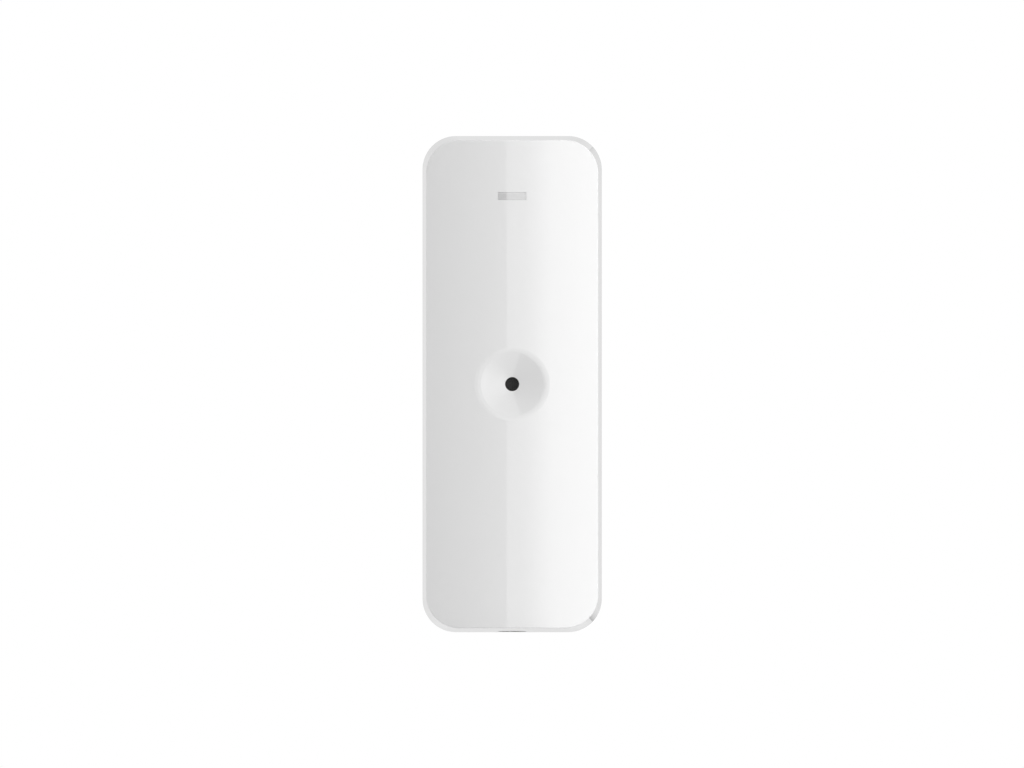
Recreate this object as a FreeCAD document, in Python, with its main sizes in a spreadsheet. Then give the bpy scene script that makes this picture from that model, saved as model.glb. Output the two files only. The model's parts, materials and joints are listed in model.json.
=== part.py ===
import FreeCAD, Part
import math
import operator
import os

import Sketcher
from FreeCAD import Placement, Rotation, Vector

# A slim wall-mounted acoustic glass break sensor, powered by one lithium cell.
# Frame: +Z is up and -Y faces the room. Y = 0 is the wall, so a depth below is a distance from the wall.
# The origin is on the wall face, behind the sound port and halfway between the two wall screws.

# Driving dimensions, in millimetres and degrees
SIZES = {
    "body_width": 30.0,
    "corner_radius": 5.6,
    "cover_wall": 1.8,
    "draft_angle": 1.5,
    "crown_radius": 45.0,
    "edge_bevel": 0.1,
    "rim_gap": 0.3,
    "funnel_radius": 5.77,
    "funnel_depth": 0.95,
    "funnel_blend": 4.1,
    "port_radius": 1.18,
    "port_wall": 1.05,
    "window_width": 4.7,
    "window_height": 1.25,
    "window_rise": 31.45,
    "window_clearance": 0.04,
    "window_sink": 0.03,
    "pipe_lip": 0.9,
    "mesh_thickness": 0.2,
    "mesh_clearance": 0.1,
    "boot_radius": 4.0,
    "boot_lip": 0.8,
    "boot_opening": 1.3,
    "boot_lift": 0.2,
    "socket_clearance": 0.1,
    "socket_wall": 1.1,
    "socket_lift": 0.7,
    "capsule_radius": 3.0,
    "capsule_length": 2.6,
    "capsule_clearance": 0.02,
    "capsule_hole": 0.6,
    "capsule_face": 0.3,
    "terminal_height": 0.1,
    "terminal_size": 1.2,
    "terminal_pitch": 2.54,
    "board_thickness": 1.0,
    "board_gap": 0.58,
    "board_margin": 0.8,
    "head_room": 2.3,
    "tail_room": 3.2,
    "cell_radius": 8.4,
    "cell_length": 34.5,
    "cell_edge": 0.5,
    "cell_nub_radius": 3.2,
    "cell_nub_height": 0.9,
    "cell_gap": 0.3,
    "cell_clearance": 0.15,
    "holder_drop": 2.2,
    "holder_side": 1.05,
    "holder_end": 1.0,
    "holder_grip": 1.0,
    "holder_window": 4.0,
    "finger_length": 11.0,
    "finger_depth": 3.4,
    "contact_sheet": 0.3,
    "contact_width": 13.2,
    "contact_height": 12.3,
    "contact_leg": 1.0,
    "contact_tail": 0.6,
    "contact_clearance": 0.1,
    "spring_height": 1.5,
    "spring_width": 6.0,
    "spring_bend": 0.2,
    "spring_reach": 3.0,
    "spring_drop": 0.7,
    "spring_clearance": 0.02,
    "ledge_gap": 1.0,
    "ledge_width": 4.0,
    "ledge_thickness": 1.3,
    "ledge_clearance": 0.1,
    "ledge_spread": 14.0,
    "rib_width": 1.2,
    "rib_overlap": 1.2,
    "rib_rise": 20.0,
    "part_gap": 1.2,
    "switch_gap": 2.8,
    "switch_size": 6.0,
    "switch_height": 3.5,
    "switch_plate": 0.2,
    "switch_tab": 2.0,
    "switch_roof": 0.4,
    "switch_travel": 0.25,
    "switch_reserve": 0.1,
    "stem_radius": 1.7,
    "stem_flange": 0.5,
    "stem_flange_height": 0.5,
    "stem_clearance": 0.1,
    "stem_gap": 0.05,
    "enrol_height": 1.3,
    "shield_width": 10.0,
    "shield_length": 11.0,
    "shield_height": 2.0,
    "shield_sheet": 0.2,
    "vent_width": 0.7,
    "vent_length": 6.0,
    "vent_pitch": 1.7,
    "processor_size": 7.0,
    "processor_height": 0.9,
    "processor_mark": 0.5,
    "crystal_length": 3.2,
    "crystal_width": 2.0,
    "crystal_height": 0.8,
    "crystal_corner": 0.4,
    "amplifier_width": 3.9,
    "amplifier_length": 4.9,
    "amplifier_height": 1.4,
    "amplifier_lift": 0.1,
    "lead_width": 0.42,
    "lead_pitch": 1.27,
    "lead_reach": 1.0,
    "lead_sheet": 0.2,
    "led_width": 3.2,
    "led_length": 1.6,
    "led_base": 0.4,
    "led_lens_width": 2.2,
    "led_lens": 0.4,
    "led_gap": 0.25,
    "capacitor_radius": 2.0,
    "capacitor_height": 5.4,
    "capacitor_base": 4.3,
    "capacitor_base_height": 0.6,
    "capacitor_gap": 0.6,
    "chip_length": 1.6,
    "chip_width": 0.8,
    "chip_height": 0.5,
    "chip_pitch": 1.9,
    "post_gap": 3.7,
    "post_radius": 2.5,
    "post_inset": 3.3,
    "board_screw_radius": 1.0,
    "board_screw_length": 3.6,
    "board_screw_head": 2.0,
    "board_screw_head_height": 1.4,
    "board_screw_clearance": 0.3,
    "thread_clearance": 0.02,
    "antenna_width": 1.2,
    "antenna_sheet": 0.4,
    "antenna_span": 13.0,
    "antenna_height": 5.0,
    "antenna_bend": 1.4,
    "antenna_gap": 2.3,
    "antenna_tail": 0.4,
    "antenna_hole": 0.1,
    "panel_thickness": 1.8,
    "panel_gap": 0.2,
    "panel_lip": 0.3,
    "panel_rib": 1.0,
    "panel_rib_height": 1.4,
    "panel_clearance": 0.4,
    "wall_screw_spacing": 52.0,
    "wall_screw_radius": 1.75,
    "wall_screw_land": 0.4,
    "hook_width": 5.0,
    "hook_spread": 13.0,
    "hook_thickness": 1.2,
    "hook_height": 2.8,
    "hook_reach": 1.0,
    "hook_clearance": 0.2,
    "lug_width": 8.0,
    "lug_height": 4.0,
    "lug_wall": 3.8,
    "lug_gap": 0.3,
    "lock_depth": 5.4,
    "lock_recess_radius": 2.45,
    "lock_recess": 2.3,
    "lock_floor": 1.5,
    "lock_boss_wall": 1.55,
    "lock_head_radius": 2.1,
    "lock_head_height": 1.6,
    "lock_screw_radius": 1.2,
    "lock_screw_length": 5.5,
    "lock_clearance": 0.3,
    "drive_radius": 1.1,
    "drive_width": 0.5,
    "drive_depth": 0.8,
    "tamper_pad_width": 10.0,
    "tamper_pad_corner": 3.0,
    "tamper_pad_margin": 4.0,
    "tamper_slot": 0.9,
    "tamper_bridge": 0.9,
    "tamper_web": 0.9,
    "tamper_boss_radius": 2.6,
    "tamper_boss_height": 0.5,
    "tamper_screw_drop": 7.0,
}
VENT_COUNT = 5
LEAD_COUNT = 4
CHIPS_IN_A_ROW = 4
OVERSHOOT = 2.0  # how far a cut runs past the surface that it opens

FRONT = "XZ_Plane"  # seen from the room: across, up, and depth along the normal
TOP = "XY_Plane"  # seen from above: across, minus the depth, and up along the normal
SIDE = "YZ_Plane"  # seen from the right: minus the depth, up, and across along the normal

DOC = FreeCAD.newDocument("GlassBreakSensor")
OPERATIONS = {"+": operator.add, "-": operator.sub, "*": operator.mul, "/": operator.truediv}


class Size:
    """A size that knows its number and the expression that works it out from the sheet."""

    def __init__(self, text, value):
        self.text = text
        self.value = value

    def __add__(self, other):
        return combine(self, "+", other)

    def __radd__(self, other):
        return combine(other, "+", self)

    def __sub__(self, other):
        return combine(self, "-", other)

    def __rsub__(self, other):
        return combine(other, "-", self)

    def __mul__(self, other):
        return combine(self, "*", other)

    def __rmul__(self, other):
        return combine(other, "*", self)

    def __truediv__(self, other):
        return combine(self, "/", other)

    def __neg__(self):
        return combine(0, "-", self)


def text_of(size):
    return size.text if isinstance(size, Size) else str(size)


def number(size):
    return size.value if isinstance(size, Size) else float(size)


def combine(left, sign, right):
    value = OPERATIONS[sign](number(left), number(right))
    return Size(f"({text_of(left)} {sign} {text_of(right)})", value)


def root(size):
    return Size(f"sqrt({size.text})", math.sqrt(size.value))


def slope(angle):
    return Size(f"tan({angle.text})", math.tan(math.radians(angle.value)))


class Sheet:
    """The driving dimensions as attributes, each bound to its cell."""

    def __init__(self, sizes):
        sheet = DOC.addObject("Spreadsheet::Sheet", "Sizes")
        for row, (name, value) in enumerate(sizes.items(), 1):
            sheet.set(f"A{row}", name)
            sheet.set(f"B{row}", str(value))
            sheet.setAlias(f"B{row}", name)
            setattr(self, name, Size(f"Sizes.{name}", value))
        DOC.recompute()


s = Sheet(SIZES)

# Depths of the stack, from the wall to the crown of the front face
cell_back = s.panel_thickness + s.panel_clearance
cell_axis = cell_back + s.cell_radius
board_back = cell_axis + s.cell_radius + s.cell_gap
board_front = board_back + s.board_thickness
capsule_back = board_front + s.terminal_height
capsule_front = capsule_back + s.capsule_length
boot_front = capsule_front + s.boot_lip
seat_depth = boot_front + s.mesh_thickness
funnel_floor = seat_depth + s.port_wall
crown_depth = funnel_floor + s.funnel_depth

# Heights above and below the sound port
holder_bottom = -s.holder_drop
minus_plate = holder_bottom + s.holder_end
spring_bottom = minus_plate + s.contact_sheet
cell_bottom = spring_bottom + s.spring_height
cell_top = cell_bottom + s.cell_length
holder_top = cell_top + s.contact_sheet + s.holder_end
ledge_bottom = holder_top + s.ledge_gap
body_top = ledge_bottom + s.head_room + s.cover_wall
switch_z = holder_bottom - s.switch_gap - s.switch_size / 2
capacitor_pitch = s.capacitor_base + s.capacitor_gap
capacitor_z = holder_bottom - s.part_gap - s.capacitor_base / 2
shield_top = capacitor_z - capacitor_pitch - s.capacitor_base / 2 - s.part_gap
shield_z = shield_top - s.shield_length / 2
post_z = shield_top - s.shield_length - s.post_gap - s.post_radius
antenna_z = post_z - s.board_screw_head - s.antenna_gap - s.antenna_width / 2
body_bottom = antenna_z - s.antenna_width / 2 - s.tail_room - s.cover_wall
body_height = body_top - body_bottom
body_z = (body_top + body_bottom) / 2

# The board fills the drafted cavity at its own depth
board_inset = s.cover_wall + (board_front - s.rim_gap) * slope(s.draft_angle) + s.board_gap
board_half = s.body_width / 2 - board_inset
board_height = body_height - 2 * board_inset

# Places across the board
post_x = board_half - s.post_inset
enrol_x = board_half - s.board_margin - s.switch_size / 2
capacitor_x = s.board_margin + s.capacitor_base / 2 - board_half
shield_x = s.board_margin + s.shield_width / 2 - board_half
processor_x = (shield_x + s.shield_width / 2 + board_half) / 2
socket_bore = s.boot_radius + s.socket_clearance
socket_radius = socket_bore + s.socket_wall
amplifier_x = -board_half / 2
amplifier_z = socket_radius + s.part_gap + s.amplifier_length / 2

# The rear panel, its two hooks at the top and its screw lug at the bottom
panel_inset = s.cover_wall + s.panel_gap
panel_top = body_top - panel_inset
panel_bottom = body_bottom + panel_inset
hook_x = s.hook_spread / 2
hook_front = s.panel_thickness + s.hook_height
hook_back = hook_front - s.hook_thickness
hook_base = panel_top - s.panel_lip - s.hook_thickness
hook_top = panel_top - s.panel_lip + s.hook_reach
lock_seat = body_bottom + s.lock_recess
lock_boss_top = lock_seat + s.lock_floor
lock_boss_radius = s.lock_recess_radius + s.lock_boss_wall
lug_bottom = lock_boss_top + s.lug_gap
lug_top = lug_bottom + s.lug_height
tamper_screw_z = switch_z - s.tamper_screw_drop
tamper_pad_height = s.tamper_screw_drop + 2 * s.tamper_pad_margin
tamper_pad_z = (switch_z + tamper_screw_z) / 2

# The push switches stand on the back of the board
switch_back = board_back - s.switch_height
cavity_back = switch_back + s.switch_roof
flange_back = cavity_back + s.stem_gap
flange_front = flange_back + s.stem_flange_height
cavity_front = flange_front + s.switch_travel + s.switch_reserve


def crown_y(x, inward):
    """The Y coordinate, at the distance x from the middle, of a surface that lies inward of the crown."""
    radius = s.crown_radius - inward
    return s.crown_radius - crown_depth - root(radius * radius - x * x)


# Sketch drawing: a coordinate is a size from the sheet, or 0 for a point on an axis

def constrain(sketch, *facts):
    """Adds a constraint whose last fact may be a size from the sheet."""
    size = facts[-1]
    if isinstance(size, Size):
        index = sketch.addConstraint(Sketcher.Constraint(*facts[:-1], size.value))
        sketch.setExpression(f"Constraints[{index}]", size.text)
    else:
        sketch.addConstraint(Sketcher.Constraint(*facts))


def pin_x(sketch, geometry, point, x):
    if isinstance(x, Size):
        constrain(sketch, "DistanceX", -1, 1, geometry, point, x)
    else:
        constrain(sketch, "PointOnObject", geometry, point, -2)


def pin_y(sketch, geometry, point, y):
    if isinstance(y, Size):
        constrain(sketch, "DistanceY", -1, 1, geometry, point, y)
    else:
        constrain(sketch, "PointOnObject", geometry, point, -1)


def flat(point):
    return Vector(number(point[0]), number(point[1]), 0)


def draw_circle(sketch, radius, x=0, y=0):
    circle = sketch.addGeometry(Part.Circle(flat((x, y)), Vector(0, 0, 1), number(radius)))
    pin_x(sketch, circle, 3, x)
    pin_y(sketch, circle, 3, y)
    constrain(sketch, "Radius", circle, radius)


def draw_ellipse(sketch, across, up):
    """An ellipse about the sketch's origin, wider than it is high."""
    ellipse = sketch.addGeometry(Part.Ellipse(Vector(0, 0, 0), across.value, up.value))
    sketch.exposeInternalGeometry(ellipse)
    major, minor = ellipse + 1, ellipse + 2
    constrain(sketch, "Coincident", ellipse, 3, -1, 1)
    constrain(sketch, "PointOnObject", major, 1, -1)
    pin_x(sketch, major, 1, across)
    pin_y(sketch, minor, 1, up)


def add_arc(sketch, start, end, centre, turn):
    """An arc from start to end, anticlockwise where turn is 1. Returns its index and its end point."""
    middle = flat(centre)
    first, last = (start, end) if turn > 0 else (end, start)
    begin, finish = flat(first) - middle, flat(last) - middle
    low, high = math.atan2(begin.y, begin.x), math.atan2(finish.y, finish.x)
    if high < low:
        high += 2 * math.pi
    circle = Part.Circle(middle, Vector(0, 0, 1), begin.Length)
    arc = sketch.addGeometry(Part.ArcOfCircle(circle, low, high))
    pin_x(sketch, arc, 3, centre[0])
    pin_y(sketch, arc, 3, centre[1])
    return arc, (2 if turn > 0 else 1)


def draw_outline(sketch, start, *steps):
    """An outline closed by a line. A step is (x, y) for a line or (x, y, centre, turn) for an arc."""
    here, before, first = start, None, None
    for step in steps + (start,):
        if len(step) == 4:
            index, end = add_arc(sketch, here, step, step[2], step[3])
        else:
            index, end = sketch.addGeometry(Part.LineSegment(flat(here), flat(step))), 2
        begin = (index, 3 - end)
        if before is None:
            first = begin
            pin_x(sketch, *first, start[0])
            pin_y(sketch, *first, start[1])
        else:
            constrain(sketch, "Coincident", *begin, *before)
        before = (index, end)
        if len(step) == 4:
            reach = flat(step) - flat(step[2])
            if abs(reach.x) > abs(reach.y):
                pin_y(sketch, *before, step[1])
            else:
                pin_x(sketch, *before, step[0])
        elif step is not start:
            pin_x(sketch, *before, step[0])
            pin_y(sketch, *before, step[1])
        here = step
    constrain(sketch, "Coincident", *before, *first)


def draw_box(sketch, left, right, low, high):
    draw_outline(sketch, (left, low), (right, low), (right, high), (left, high))


def draw_plate(sketch, width, height, x=0, y=0):
    """A rectangle about the point x, y."""
    draw_box(sketch, x - width / 2, x + width / 2, y - height / 2, y + height / 2)


def draw_rounded(sketch, width, height, radius, y=0):
    """A rectangle with round corners, its middle at the height y."""
    side, low, high = width / 2, y - height / 2, y + height / 2
    draw_outline(
        sketch,
        (0, low),
        (side - radius, low),
        (side, low + radius, (side - radius, low + radius), 1),
        (side, high - radius),
        (side - radius, high, (side - radius, high - radius), 1),
        (radius - side, high),
        (-side, high - radius, (radius - side, high - radius), 1),
        (-side, low + radius),
        (radius - side, low, (radius - side, low + radius), 1),
    )


def bind(thing, name, size):
    """Sets a property from a plain number, or ties it to the sheet."""
    if isinstance(size, Size):
        thing.setExpression(name, size.text)
    else:
        setattr(thing, name, size)


class Piece:
    """A body that is built up from features. Lengths run along the normal of the sketch's plane."""

    def __init__(self, name):
        self.name = name
        self.body = DOC.addObject("PartDesign::Body", name)

    def add(self, kind, name):
        return self.body.newObject(kind, f"{self.name}_{name}")

    def plane(self, role):
        return next(f for f in self.body.Origin.OriginFeatures if f.Role == role)

    def attach(self, thing, role, *shift):
        """Lays a sketch or plane on one of the body's own planes, shifted along its axes and its normal."""
        thing.AttachmentSupport = [(self.plane(role), "")]
        thing.MapMode = "FlatFace"
        thing.AttachmentOffset = Placement(Vector(*[number(value) for value in shift]), Rotation())
        for axis, value in zip("xyz", shift):
            if isinstance(value, Size):
                thing.setExpression(f".AttachmentOffset.Base.{axis}", value.text)
        return thing

    def sketch(self, name, role, *shift):
        return self.attach(self.add("Sketcher::SketchObject", f"{name}_sketch"), role, *shift)

    def grow(self, kind, name, sketch, length, backwards, symmetric):
        feature = self.add(kind, name)
        feature.Profile = sketch
        feature.Reversed = backwards
        if symmetric:
            feature.SideType = "Symmetric"
        bind(feature, "Length", length)
        return feature

    def pad(self, name, sketch, length, backwards=False, symmetric=False):
        return self.grow("PartDesign::Pad", name, sketch, length, backwards, symmetric)

    def pocket(self, name, sketch, length, backwards=False, symmetric=False):
        return self.grow("PartDesign::Pocket", name, sketch, length, backwards, symmetric)

    def spin(self, kind, name, sketch, axis):
        feature = self.add(kind, name)
        feature.Profile = sketch
        feature.ReferenceAxis = (sketch, [axis])
        feature.Angle = 360
        return feature

    def turn(self, name, x, z, *section, kind="PartDesign::Revolution"):
        """A round shape whose axis points into the room. The section holds (depth, radius) points."""
        sketch = self.sketch(name, SIDE, 0, z, x)
        draw_outline(sketch, *[(-depth, radius) for depth, radius in section])
        return self.spin(kind, name, sketch, "H_Axis")

    def bore(self, name, x, z, *section):
        return self.turn(name, x, z, *section, kind="PartDesign::Groove")

    def turn_upright(self, name, depth, *section):
        """A round shape with an upright axis. The section holds (radius, height) points."""
        sketch = self.sketch(name, FRONT, 0, 0, depth)
        draw_outline(sketch, *section)
        return self.spin("PartDesign::Revolution", name, sketch, "V_Axis")

    def dress(self, kind, name, base, size, chosen):
        """A fillet or a chamfer on the edges of the base for which chosen is true."""
        DOC.recompute()
        edges = [f"Edge{i}" for i, edge in enumerate(base.Shape.Edges, 1) if chosen(edge)]
        feature = self.add(f"PartDesign::{kind}", name)
        feature.Base = (base, edges)
        bind(feature, "Radius" if kind == "Fillet" else "Size", size)
        return feature

    def draft(self, name, base, depth, angle):
        """Leans the side faces of a block inwards, towards the room, from the depth given."""
        neutral = self.attach(self.add("PartDesign::Plane", f"{name}_plane"), FRONT, 0, 0, depth)
        DOC.recompute()
        sides = [i for i, face in enumerate(base.Shape.Faces, 1) if abs(face.normalAt(0, 0).y) < 0.5]
        feature = self.add("PartDesign::Draft", name)
        feature.Base = (base, [f"Face{i}" for i in sides])
        feature.NeutralPlane = (neutral, [""])
        bind(feature, "Angle", angle)

        # The lean has a shape only from the second pass on
        DOC.recompute()
        return feature


def place(thing, x, depth, z, rotation=Rotation()):
    thing.Placement = Placement(Vector(number(x), -number(depth), number(z)), rotation)
    for axis, value in (("x", x), ("y", -depth), ("z", z)):
        if isinstance(value, Size):
            thing.setExpression(f".Placement.Base.{axis}", value.text)
    return thing


def block(name, x, z, back, width, height, thickness):
    """A plain block about the point x, z whose back face is at the depth given."""
    box = DOC.addObject("Part::Box", name)
    bind(box, "Length", width)
    bind(box, "Width", thickness)
    bind(box, "Height", height)
    return place(box, x - width / 2, back + thickness, z - height / 2)


def rod(name, x, z, back, radius, length):
    """A cylinder that runs towards the room from the depth given."""
    cylinder = DOC.addObject("Part::Cylinder", name)
    bind(cylinder, "Radius", radius)
    bind(cylinder, "Height", length)
    return place(cylinder, x, back, z, Rotation(Vector(1, 0, 0), 90))


def fuse(name, *shapes):
    joined = DOC.addObject("Part::MultiFuse", name)
    joined.Shapes = list(shapes)
    return joined


def cut(name, base, tool):
    result = DOC.addObject("Part::Cut", name)
    result.Base = base
    result.Tool = tool
    return result


def group(name, members):
    """Like pieces that share one name and stay separate solids."""
    compound = DOC.addObject("Part::Compound", name)
    compound.Links = list(members)
    return compound


# The front cover: an outer form less the form of the space inside it

def drafted_box(piece, inset):
    """The rounded box of the cover, less inset all round, drafted towards the room and cut to the crown."""
    rim = piece.sketch("rim", FRONT, 0, 0, s.rim_gap)
    draw_plate(rim, s.body_width - 2 * inset, body_height - 2 * inset, 0, body_z)
    walls = piece.pad("walls", rim, crown_depth - s.rim_gap)
    drafted = piece.draft("draft", walls, s.rim_gap, s.draft_angle)
    half = (crown_depth - s.rim_gap).value / 2
    piece.dress("Fillet", "corners", drafted, s.corner_radius - inset, lambda edge: edge.BoundBox.YLength > half)
    crown = piece.sketch("crown", TOP, 0, 0, body_z)
    side = s.body_width / 2 + OVERSHOOT
    shoulder, front = crown_y(side, inset), -(crown_depth + OVERSHOOT)
    centre = (0, s.crown_radius - crown_depth)
    draw_outline(crown, (-side, shoulder), (side, shoulder, centre, 1), (side, front), (-side, front))
    return piece.pocket("crown", crown, body_height + OVERSHOOT, symmetric=True)


def crown_rim(shape):
    """The edges round the crown face, which is the largest round face."""
    faces = [face for face in shape.Faces if face.Surface.TypeId == "Part::GeomCylinder"]
    return max(faces, key=lambda face: face.Area).OuterWire.Edges


def cover_form():
    """The outside of the cover, with the shallow funnel of the sound port."""
    form = Piece("cover_form")
    crown = drafted_box(form, 0)
    DOC.recompute()
    rim = crown_rim(crown.Shape)
    form.dress("Chamfer", "bevel", crown, s.edge_bevel, lambda edge: any(map(edge.isSame, rim)))

    # A cone whose mouth meets the curved face in a circle
    sag = s.funnel_radius * s.funnel_radius / (2 * s.crown_radius)
    spread = s.funnel_radius - s.port_radius
    rise = s.funnel_depth + OVERSHOOT
    floor = form.sketch("funnel_floor", FRONT, 0, 0, funnel_floor)
    draw_circle(floor, s.port_radius)
    mouth = form.sketch("funnel_mouth", FRONT, 0, 0, funnel_floor + rise)
    across = s.port_radius + rise * spread / (s.funnel_depth - sag)
    draw_ellipse(mouth, across, s.port_radius + rise * spread / s.funnel_depth)
    funnel = form.add("PartDesign::SubtractiveLoft", "funnel")
    funnel.Profile = floor
    funnel.Sections = [mouth]
    funnel.Ruled = True

    reach = s.funnel_radius.value
    front = (s.funnel_depth / 2 - crown_depth).value

    def is_mouth(edge):
        box = edge.BoundBox
        return box.YMax < front and max(box.ZMax, -box.ZMin) < 2 * reach and box.DiagonalLength > reach

    form.dress("Fillet", "funnel_blend", funnel, s.funnel_blend, is_mouth)
    return form.body


def core_sockets(core):
    """The microphone socket with its flat seat, and the two screw posts of the board."""
    seat = core.sketch("seat", FRONT, 0, 0, seat_depth)
    draw_circle(seat, socket_radius)
    core.pocket("seat", seat, OVERSHOOT, backwards=True)
    socket = core.sketch("socket", FRONT, 0, 0, board_front + s.socket_lift)
    draw_circle(socket, socket_radius)
    draw_circle(socket, socket_bore)
    core.pocket("socket", socket, crown_depth - board_front, backwards=True)
    posts = core.sketch("posts", FRONT, 0, post_z, board_front)
    for x in (-post_x, post_x):
        draw_circle(posts, s.post_radius, x)
        draw_circle(posts, s.board_screw_radius, x)
    core.pocket("posts", posts, crown_depth - board_front, backwards=True)


def core_ribs(core):
    """Ribs that the board's front face lies on, and ledges that its top edge slides behind."""
    rests = core.sketch("rests", FRONT, 0, 0, board_front)
    half_rib, side = s.rib_width / 2, s.body_width / 2
    for x in (-s.ledge_spread / 2, s.ledge_spread / 2):
        draw_box(rests, x - half_rib, x + half_rib, ledge_bottom, body_top)
    for z in (s.rib_rise, -s.rib_rise):
        draw_box(rests, board_half - s.rib_overlap, side, z - half_rib, z + half_rib)
        draw_box(rests, -side, s.rib_overlap - board_half, z - half_rib, z + half_rib)
    core.pocket("rests", rests, crown_depth - board_front, backwards=True)
    ledges = core.sketch("ledges", FRONT, 0, 0, board_back - s.ledge_clearance)
    for x in (-s.ledge_spread / 2, s.ledge_spread / 2):
        draw_box(ledges, x - s.ledge_width / 2, x + s.ledge_width / 2, ledge_bottom, body_top)
    core.pocket("ledges", ledges, s.ledge_thickness)


def core_lock(core):
    """The boss, hole and recess of the locking screw in the bottom wall, and the hook pockets above."""
    boss = core.sketch("boss", TOP, 0, 0, lock_boss_top)
    back = -(s.panel_thickness + s.panel_gap)
    draw_outline(
        boss,
        (lock_boss_radius, back),
        (-lock_boss_radius, back),
        (-lock_boss_radius, -s.lock_depth),
        (lock_boss_radius, -s.lock_depth, (0, -s.lock_depth), 1),
    )
    core.pocket("boss", boss, lock_boss_top - body_bottom)
    below = body_bottom - OVERSHOOT
    hole = core.sketch("hole", TOP, 0, -s.lock_depth, below)
    draw_circle(hole, s.lock_screw_radius + s.lock_clearance)
    core.pad("hole", hole, lock_boss_top - below + s.lug_gap)
    recess = core.sketch("recess", TOP, 0, -s.lock_depth, below)
    draw_circle(recess, s.lock_recess_radius)
    core.pad("recess", recess, lock_seat - below)
    pockets = core.sketch("hook_pockets", FRONT, 0, 0, hook_back - s.hook_clearance)
    half = s.hook_width / 2 + s.hook_clearance
    for x in (-hook_x, hook_x):
        draw_box(pockets, x - half, x + half, hook_base, hook_top + s.hook_clearance)
    core.pad("hook_pockets", pockets, s.hook_thickness + 2 * s.hook_clearance)


def core_openings(core):
    """The sound port and the window of the light pipe."""
    port = core.sketch("port", FRONT, 0, 0, capsule_front)
    draw_circle(port, s.port_radius)
    core.pad("port", port, crown_depth - capsule_front)
    window = core.sketch("window", FRONT, 0, 0, board_front)
    draw_plate(window, s.window_width, s.window_height, 0, s.window_rise)
    core.pad("window", window, crown_depth - board_front + OVERSHOOT)


def front_cover():
    form = cover_form()
    core = Piece("cover_core")
    drafted_box(core, s.cover_wall)
    core_sockets(core)
    core_ribs(core)
    core_lock(core)
    core_openings(core)
    return cut("front_cover", form, core.body)


# The rear panel

def panel_frame(panel):
    """The plate that closes the cover, with a rib all round that is open at the screw boss."""
    plate = panel.sketch("plate", FRONT, 0, 0, 0)
    width, height = s.body_width - 2 * panel_inset, body_height - 2 * panel_inset
    corner = s.corner_radius - panel_inset
    draw_rounded(plate, width, height, corner, body_z)
    panel.pad("plate", plate, s.panel_thickness)
    rib = panel.sketch("rib", FRONT, 0, 0, s.panel_thickness)
    for inset in (s.panel_lip, s.panel_lip + s.panel_rib):
        draw_rounded(rib, width - 2 * inset, height - 2 * inset, corner - inset, body_z)
    panel.pad("rib", rib, s.panel_rib_height)
    gap = panel.sketch("rib_gap", FRONT, 0, 0, s.panel_thickness)
    half = lock_boss_radius + s.lug_gap
    draw_box(gap, -half, half, panel_bottom, lug_bottom)
    panel.pocket("rib_gap", gap, s.panel_rib_height, backwards=True)


def panel_hooks(panel):
    """Two hooks that reach into the top wall of the cover."""
    for name, back, top, length in (
        ("hook_posts", s.panel_thickness, panel_top - s.panel_lip, s.hook_height),
        ("hook_noses", hook_back, hook_top, s.hook_thickness),
    ):
        sketch = panel.sketch(name, FRONT, 0, 0, back)
        for x in (-hook_x, hook_x):
            draw_box(sketch, x - s.hook_width / 2, x + s.hook_width / 2, hook_base, top)
        panel.pad(name, sketch, length)


def panel_lug(panel):
    """The lug that the locking screw bites into."""
    lug = panel.sketch("lug", FRONT, 0, 0, s.panel_thickness)
    draw_box(lug, -s.lug_width / 2, s.lug_width / 2, lug_bottom, lug_top)
    panel.pad("lug", lug, s.lock_depth + s.lug_wall - s.panel_thickness)
    pilot = panel.sketch("pilot", TOP, 0, -s.lock_depth, lug_top)
    draw_circle(pilot, s.lock_screw_radius + s.thread_clearance)
    panel.pocket("pilot", pilot, s.lug_height)


def screw_hole(panel, name, z):
    """A hole for a countersunk wall screw, which is driven from the room side."""
    edge = s.wall_screw_radius + s.panel_thickness - s.wall_screw_land
    panel.bore(
        name, 0, z,
        (-s.wall_screw_land, 0),
        (-s.wall_screw_land, s.wall_screw_radius),
        (s.wall_screw_land, s.wall_screw_radius),
        (s.panel_thickness, edge),
        (s.panel_thickness + s.wall_screw_land, edge),
        (s.panel_thickness + s.wall_screw_land, 0),
    )


def tamper_pad(panel):
    """An island on four thin bridges, which stays on the wall if the panel is torn off."""
    window_width = s.tamper_pad_width + 2 * s.tamper_slot
    window_height = tamper_pad_height + 2 * s.tamper_slot
    window = panel.sketch("tamper_window", FRONT, 0, 0, s.panel_thickness)
    draw_rounded(window, window_width, window_height, s.tamper_pad_corner + s.tamper_slot, tamper_pad_z)
    panel.pocket("tamper_window", window, s.panel_thickness)
    for name, width, height in (
        ("tamper_upright", s.tamper_bridge, window_height),
        ("tamper_crossbar", window_width, s.tamper_bridge),
    ):
        bar = panel.sketch(name, FRONT, 0, tamper_pad_z, s.panel_thickness - s.tamper_web)
        draw_plate(bar, width, height)
        panel.pad(name, bar, s.tamper_web)
    island = panel.sketch("tamper_island", FRONT, 0, 0, 0)
    draw_rounded(island, s.tamper_pad_width, tamper_pad_height, s.tamper_pad_corner, tamper_pad_z)
    panel.pad("tamper_island", island, s.panel_thickness)
    boss = panel.sketch("tamper_boss", FRONT, 0, 0, s.panel_thickness)
    draw_circle(boss, s.tamper_boss_radius, 0, switch_z)
    panel.pad("tamper_boss", boss, s.tamper_boss_height)
    hole = panel.sketch("tamper_screw_hole", FRONT, 0, 0, 0)
    draw_circle(hole, s.wall_screw_radius, 0, tamper_screw_z)
    panel.pocket("tamper_screw_hole", hole, s.panel_thickness, backwards=True)


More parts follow.
